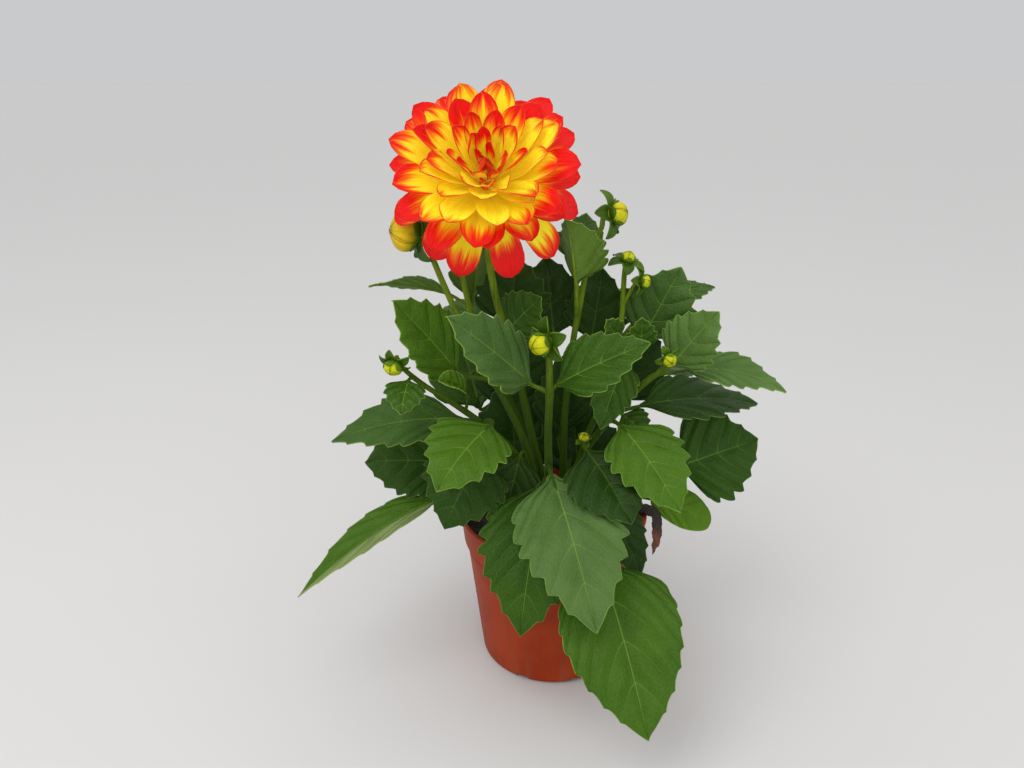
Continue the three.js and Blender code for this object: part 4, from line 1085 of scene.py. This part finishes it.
plant = [
    stem("bloom", (3.0, 2.2), [
        (0, 2, 99), (-4, 1, 122), (-13, 0, 155), (-21, 1, 192),
        (-29, 2, 226), (-39, 3, 260), (-44, 2, 292), (-44, 0, 312),
    ], [
        leaf(234, (-31, -6, 243), (-11, -20, 268), 34, 2, (0.1, -0.8, 0.6), tone=0.35),
        leaf(212, (-30, 24, 236), (-26, 24, 284), 50, 3, (0, -0.85, 0.5), teeth=4, tone=0.15),
    ]),
    stem("left_bud", (2.9, 1.8), [
        (-9, -5, 99), (-11, -6, 122), (-20, -8, 163), (-34, -7, 195),
        (-62, -6, 249), (-77, -5, 285), (-82, 0, 297),
    ], [
        leaf(206, (-64, -15, 217), (-100, -40, 271), 46, 3, (0.2, -0.7, 0.68), fold=12, tone=0.75),
    ], [budOf("left", (-88, 3, 304), (-0.9, -0.35, 0.1), 12.5, 18, 5, 17, gold=1.0)]),
    stem("hidden_bud", (2.8, 1.7), [
        (-8, 6, 99), (-9, 7, 122), (-14, 8, 152), (-27, 12, 180),
        (-42, 14, 215), (-55, 14, 245), (-64, 16, 285),
    ], [
        leaf(248, (-70, 20, 259), (-122, 10, 267), 34, 4, (0, 0.45, 0.9), tone=1.0),
        leaf(236, (-56, 34, 250), (-50, 36, 290), 42, 7, (0, 0.2, 0.98), teeth=4, tone=0.45),
    ], [budOf("hidden", (-67, 24, 300), (-0.3, 0.6, 0.75), 7, 11, 5, 12)]),
    stem("front_bud", (3.0, 2.0), [
        (-1, -12, 99), (-2, -18, 118), (-5, -34, 142), (-6, -45, 166),
        (-7, -55, 194), (-7, -64, 222), (-8, -71, 250),
    ], [
        leaf(221, (-18, -63, 227), (-64, -92, 276), 41, 3, (0.15, -0.72, 0.68), fold=14, cool=0.5),
        leaf(222, (-3, -65, 227), (49, -72, 255), 38, 3, (-0.25, -0.7, 0.67), fold=16, tone=0.52),
        leaf(162, (-5, -62, 167), (18, -135, 106), 66, 8, (0, -0.5, 0.87), teeth=6, tone=0.7, cool=0.7),
        leaf(152, (-9, -52, 157), (-24, -98, 76), 64, 8, (-0.15, -0.78, 0.61), teeth=6, tone=0.45),
    ], [budOf("front", (-10, -75, 257), (-0.7, -0.65, -0.15), 6.5, 11, 5, 12, gold=0.15)]),
    stem("low_left_bud", (2.9, 1.5), [
        (-9, -16, 99), (-11, -18, 122), (-17, -21, 147), (-29, -25, 167),
        (-47, -28, 186), (-67, -32, 203), (-86, -36, 218), (-97, -40, 230),
    ], [
        leaf(186, (-42, -50, 195), (-72, -95, 173), 52, 6, (-0.1, -0.6, 0.8), tone=0.72),
        leaf(180, (-61, -19, 186), (-145, -30, 175), 42, 8, (0, -0.45, 0.89), tone=0.4, cool=0.25),
        leaf(220, (-92, -43, 222), (-95, -62, 207), 25, 3, (0, -0.85, 0.5), teeth=4, tone=0.5),
        leaf(118, (-24, -34, 166), (-34, -48, 126), 36, 2, (-0.1, -0.8, 0.6), teeth=4, tone=0.15),
        leaf(150, (-72, 4, 144), (-130, 0, 146), 54, 5, (-0.1, -0.75, 0.65), tone=0.25),
        leaf(128, (-76, -15, 127), (-168, -60, 78), 30, 10, (0.1, -0.2, 0.97), fold=25, depth=0.08,
             tone=0.7, paleSide=-1),
        leaf(158, (-48, -33, 165), (-71, -61, 129), 56, 8, (-0.1, -0.7, 0.7), tone=0.2),
        leaf(196, (-58, -43, 214), (-73, -52, 225), 20, 2, (0, -0.6, 0.8), fold=50, teeth=0, tone=0.85),
    ], [budOf("low_left", (-100, -43, 233), (-0.25, -0.7, -0.6), 5.5, 8, 5, 9)]),
    stem("right_bud", (2.8, 1.7), [
        (8, 8, 99), (7, 8, 130), (7, 8, 174), (11, 11, 224),
        (16, 12, 258), (22, 11, 291), (28, 10, 306),
    ], [
        leaf(246, (12, 4, 270), (4, 0, 313), 46, 2, (0.64, 0.77, 0.2), fold=40, tone=0.9),
        leaf(256, (14, 36, 276), (21, 44, 309), 34, 2, (0, -0.9, 0.4), teeth=4, cool=0.5),
        leaf(200, (0, 36, 225), (-6, 44, 280), 50, 3, (0, -0.9, 0.4), teeth=4, tone=0.1),
        leaf(190, (26, 36, 222), (32, 34, 274), 44, 3, (0, -0.9, 0.4), teeth=4, tone=0.15),
        leaf(142, (4, 20, 158), (9, 19, 220), 40, 3, (0, -0.95, 0.3), teeth=4, tone=0.05),
    ], [budOf("right", (34, 8, 314), (0.85, -0.45, 0.25), 7.5, 10, 5, 14, gold=0.3)]),
    stem("right_pair", (2.8, 1.7), [
        (13, 0, 99), (14, 0, 125), (21, 1, 162), (35, 3, 198),
        (42, 6, 239), (43, 7, 262), (43, 7, 274),
    ], [
        leaf(214, (58, 15, 230), (79, 5, 281), 50, 2, (0.1, -0.8, 0.6), tone=0.55, cool=0.45),
        leaf(228, (70, 30, 250), (110, 40, 259), 28, 4, (0, -0.3, 0.95), tone=0.5),
        leaf(226, (38, -12, 237), (29, -28, 256), 18, 1, (0, -0.85, 0.5), teeth=4, tone=0.6),
        leaf(220, (54, -6, 230), (53, -13, 253), 20, 1, (0, -0.85, 0.5), teeth=4, tone=0.5),
        leaf(210, (44, -14, 224), (26, -45, 190), 30, 5, (-0.3, -0.85, 0.4), tone=0.35),
        leaf(135, (86, 5, 140), (142, 12, 158), 66, 4, (0, -0.85, 0.5), tone=0.3),
        leaf(110, (70, 10, 112), (111, 0, 98), 30, 5, (0, -0.6, 0.8), teeth=0, tone=1.0),
    ], [
        budOf("right_pair_1", (44, 4, 285), (0.2, -0.3, 0.9), 4.5, 7, 5, 11),
        budOf("right_pair_2", (53, 0, 273), (0.85, -0.45, 0.1), 4.2, 6, 5, 9, start=255),
    ]),
    stem("low_right_bud", (2.9, 1.5), [
        (9, -10, 99), (10, -13, 125), (15, -21, 156), (31, -25, 185),
        (52, -28, 212), (62, -30, 222), (66, -31, 229),
    ], [
        leaf(214, (73, -15, 222), (97, -28, 261), 38, 2, (-0.1, -0.8, 0.6), tone=0.95, cool=0.7),
        leaf(208, (84, -4, 214), (145, -25, 207), 34, 8, (0, -0.35, 0.94), tone=0.95, cool=0.7),
        leaf(183, (56, -6, 190), (140, 15, 183), 44, 6, (0, -0.35, 0.94), tone=0.2),
        leaf(178, (37, -50, 195), (68, -96, 160), 50, 5, (0.1, -0.6, 0.8), tone=0.72),
        leaf(165, (17, -55, 180), (40, -97, 153), 52, 5, (0.1, -0.78, 0.61), tone=0.1),
        leaf(130, (27, -44, 140), (54, -62, 96), 34, 5, (0.2, -0.8, 0.55), tone=0.1),
        leaf(120, (24, -78, 119), (49, -145, 40), 73, 8, (0.05, -0.75, 0.66), teeth=7, depth=0.035,
             lean=0.42, tone=0.66),
        leaf(176, (44, -6, 184), (61, -17, 170), 24, 3, (0, -0.7, 0.7), teeth=4, tone=0.4),
    ], [
        budOf("low_right_1", (67, -33, 233), (0.2, -0.9, -0.2), 4.2, 7, 4, 7),
        budOf("low_right_2", (17, -31, 177), (0, -0.6, 0.8), 3.2, 6, 4, 5, start=160),
    ]),
    stem("back_left", (2.7, 1.4), [
        (-6, 16, 99), (-8, 20, 122), (-16, 36, 160), (-28, 50, 200), (-34, 56, 222),
    ], [
        leaf(214, (-36, 78, 226), (-30, 124, 232), 44, 8, (0, 0.3, 0.95), teeth=4, tone=0.55),
        leaf(218, (-46, 52, 230), (-84, 58, 236), 36, 5, (0, -0.2, 0.98), teeth=4, tone=0.5),
        leaf(182, (-53, 51, 166), (-70, 56, 226), 60, 8, (0.1, -0.85, 0.5), teeth=4, tone=0.45, cool=0.3),
        leaf(178, (-28, 70, 176), (-40, 126, 160), 50, 10, (0, 0.2, 0.98), teeth=4, tone=0.6),
        leaf(112, (-26, 36, 116), (-30, 30, 198), 60, 3, (0, -0.92, 0.4), teeth=4, tone=0.1),
        leaf(128, (-24, 62, 126), (-36, 112, 96), 46, 8, (0, 0.3, 0.95), teeth=4, tone=0.4, cool=0.3),
        leaf(156, (-31, 34, 168), (-21, 31, 232), 56, 3, (0, -0.92, 0.4), teeth=4, tone=0.1),
    ]),
    stem("back_right", (2.7, 1.4), [
        (6, 18, 99), (9, 23, 122), (20, 40, 160), (34, 54, 200), (40, 60, 222),
    ], [
        leaf(214, (44, 80, 226), (48, 126, 234), 44, 8, (0, 0.3, 0.95), teeth=4, tone=0.5),
        leaf(218, (54, 56, 230), (96, 66, 236), 38, 5, (0, -0.1, 0.99), teeth=4, tone=0.5),
        leaf(184, (64, 60, 188), (120, 80, 176), 46, 8, (0, 0, 1), teeth=4, tone=0.45, cool=0.3),
        leaf(178, (32, 76, 176), (38, 130, 160), 50, 10, (0, 0.2, 0.98), teeth=4, tone=0.65),
        leaf(112, (20, 32, 118), (12, 26, 194), 58, 3, (0, -0.92, 0.4), teeth=4, tone=0.1),
        leaf(128, (26, 66, 124), (30, 116, 94), 46, 8, (0, 0.3, 0.95), teeth=4, tone=0.4, cool=0.2),
        leaf(156, (44, 38, 176), (66, 36, 234), 56, 3, (0, -0.92, 0.4), teeth=4, tone=0.1),
    ]),
]


def stemPoint(curve, height):
    return curve[int(np.argmin(np.abs(curve[:, 2] - height)))]


def buildStem(plan, order):
    name = plan["name"]
    curve = flowing(plan["route"], 201)
    thick, thin = plan["radius"]
    along = np.linspace(0, 1, 41)
    radii = mix(thick, thin, along)
    for item in plan["leaves"]:  # the stem swells where a leaf leaves it
        joint = np.argmin(np.abs(curve[:, 2] - item["start"])) / 200
        radii = radii * (1 + 0.10 * np.exp(-((along - joint) * 40) ** 2))
    foot = curve[0] * [1, 1, 0] + up * (soil["level"] - 22)
    lines = [(np.vstack([foot, curve[::5]]), np.concatenate([[thick], radii]))]
    sheets, bracts = [], []
    for k, item in enumerate(plan["leaves"]):
        sheets.append(leafSheet(item, order * 10 + k))
        lines.append(leafStalk(item, stemPoint(curve, item["start"])))
    flower = {**bloom["cup"], "seat": bloom["centre"] - bloom["axis"] * bloom["back"], "axis": bloom["axis"]}
    for k, top in enumerate([flower] if name == "bloom" else plan["buds"]):
        start = stemPoint(curve, top["start"]) if "start" in top else curve[-1]
        neck = top["seat"] - top["axis"] * 0.9 * top["radius"]
        end = top["seat"] - top["axis"] * 0.3 * top["radius"]
        bend = bezier([start, mix(start, neck, 0.7), neck, end], np.linspace(0, 1, 8))
        size = thin * (0.75 if "start" in top else 1)
        lines += [(bend, np.full(8, size)), cupLine(top)]
        for j in range(top["bracts"]):
            turn = 2 * math.pi * (j + 0.3) / top["bracts"]
            bracts.append(bractSheet(top, turn, order * 30 + k * 10 + j))
    pieces = [stalks(name + "Stalks", lines, stalkSkin)]
    pieces.append(thickened(sheets, name + "Leaves", blade["thickness"], leafTop, leafUnder))
    if bracts:
        pieces.append(thickened(bracts, name + "Bracts", bract["thickness"], bractSkin))
    settle(joinAll(pieces, "leafyStem_" + name), "stem_" + name)
    for k, item in enumerate(plan["buds"]):
        budPiece("closedBud_" + item["node"], item, order * 3 + k)


deadLeaf = {
    "route": [
        (52, 0, 103), (58, -2, 111), (64, -4, 113.5), (71, -8, 111),
        (73, -11, 101), (72, -13, 91), (69, -15, 82),
    ],
    "half": [3, 4.5, 6.5, 7, 7, 4.5, 0], "twist": 55, "curl": 0.2, "crinkle": 1.1, "thickness": 0.6,
}


def buildDeadLeaf():
    d = deadLeaf
    curve = flowing(d["route"], 101)
    t, share = bladeBlank["t"], bladeBlank["share"]
    at = np.linspace(0, 1, len(curve))
    spine, slope = [
        np.stack([np.interp(share, at, values[:, k]) for k in range(3)], axis=1)
        for values in (curve, np.gradient(curve, axis=0))
    ]
    along = unit(slope)
    twist = np.radians(d["twist"]) * share
    normal = unit(np.cross(np.stack([np.sin(twist), np.cos(twist), 0 * twist], axis=1), along))
    across = np.cross(along, normal)
    half = np.interp(share, np.linspace(0, 1, 7), d["half"]) * (1 + 0.10 * np.sin(share * 37) * np.abs(t))
    lift = d["curl"] * np.abs(t) * half
    for i, (x, y) in enumerate(zip(t * half, share * 60)):
        crinkle = noise.fractal(Vector((x * 0.35, y * 0.22, 3)), 1.0, 2.0, 3)
        lift[i] += d["crinkle"] * crinkle * min(1, half[i] / 3)
    points = spine + across * (t * half)[:, None] + normal * lift[:, None]
    sheet = shaped(bladeBlank, points, {"along": share, "across": t})
    piece = outward(thickened([sheet], "deadLeafOnRim", d["thickness"], deadSkin))
    settle(piece, "dead_leaf", angle=50)


buildPot()
buildSoil()
print("pot and soil done")
for order, plan in enumerate(plant):
    buildStem(plan, order)
    print("stem done:", plan["name"])
buildBloom()
buildDeadLeaf()
for blank in (bladeBlank, bractBlank, budBlank, petalBlank):
    bpy.data.objects.remove(blank["object"])
print("bloom and dead leaf done")


# Floor, light and camera

studio = {
    "floor": rgb(0.62, 0.612, 0.60), "cloud": rgb(0.56, 0.552, 0.54), "roughness": 0.85,
    "sky": rgb(0.98, 0.985, 1.0), "horizon": 0.60, "zenith": 1.08,
    "lights": {
        "keyLight": {"place": (-0.6, -0.7, 1.4), "target": (0, 0, 0.2), "size": 0.9, "power": 7.0},
        "fillLight": {"place": (0.3, -1.5, 0.75), "target": (0, 0, 0.25), "size": 1.2, "power": 6.0},
    },
    "lens": 29.88, "sensor": 36, "cameraPlace": (-0.029, -0.5285, 0.401), "cameraTilt": 69.5,
}


def floorRecipe(tree, look):
    shade = blend(times(speckle(place(tree), 7.0), 0.15), look["floor"], look["cloud"])
    return {"Base Color": shade, "Roughness": look["roughness"]}


floor = fresh("paleFloor", bpy.ops.mesh.primitive_plane_add, size=40)
wear(floor, newMaterial("floorMatt", floorRecipe, studio))

# a soft sky that is brighter overhead than near the horizon
world = bpy.data.worlds.new("softSky")
bpy.context.scene.world = world
world.use_nodes = True
sky = world.node_tree
height = heightOf(add(sky, "ShaderNodeTexCoord", {}).outputs["Generated"])
strength = band(height, 0.05, 0.9, studio["horizon"], studio["zenith"])
fill(sky.nodes["Background"], {"Color": studio["sky"], "Strength": strength})

for name, light in studio["lights"].items():
    lamp = fresh(name, bpy.ops.object.light_add, type="AREA", location=light["place"])
    lamp.data.size = light["size"]
    lamp.data.energy = light["power"]
    towards = Vector(light["target"]) - Vector(light["place"])
    lamp.rotation_euler = towards.to_track_quat("-Z", "Y").to_euler()

tilt = (math.radians(studio["cameraTilt"]), 0, 0)
camera = fresh("Camera", bpy.ops.object.camera_add, location=studio["cameraPlace"], rotation=tilt)
camera.data.lens = studio["lens"]
camera.data.sensor_width = studio["sensor"]
bpy.context.scene.camera = camera
bpy.context.scene.view_settings.view_transform = "Standard"
clearSelection()
print("stage, lights and camera done")
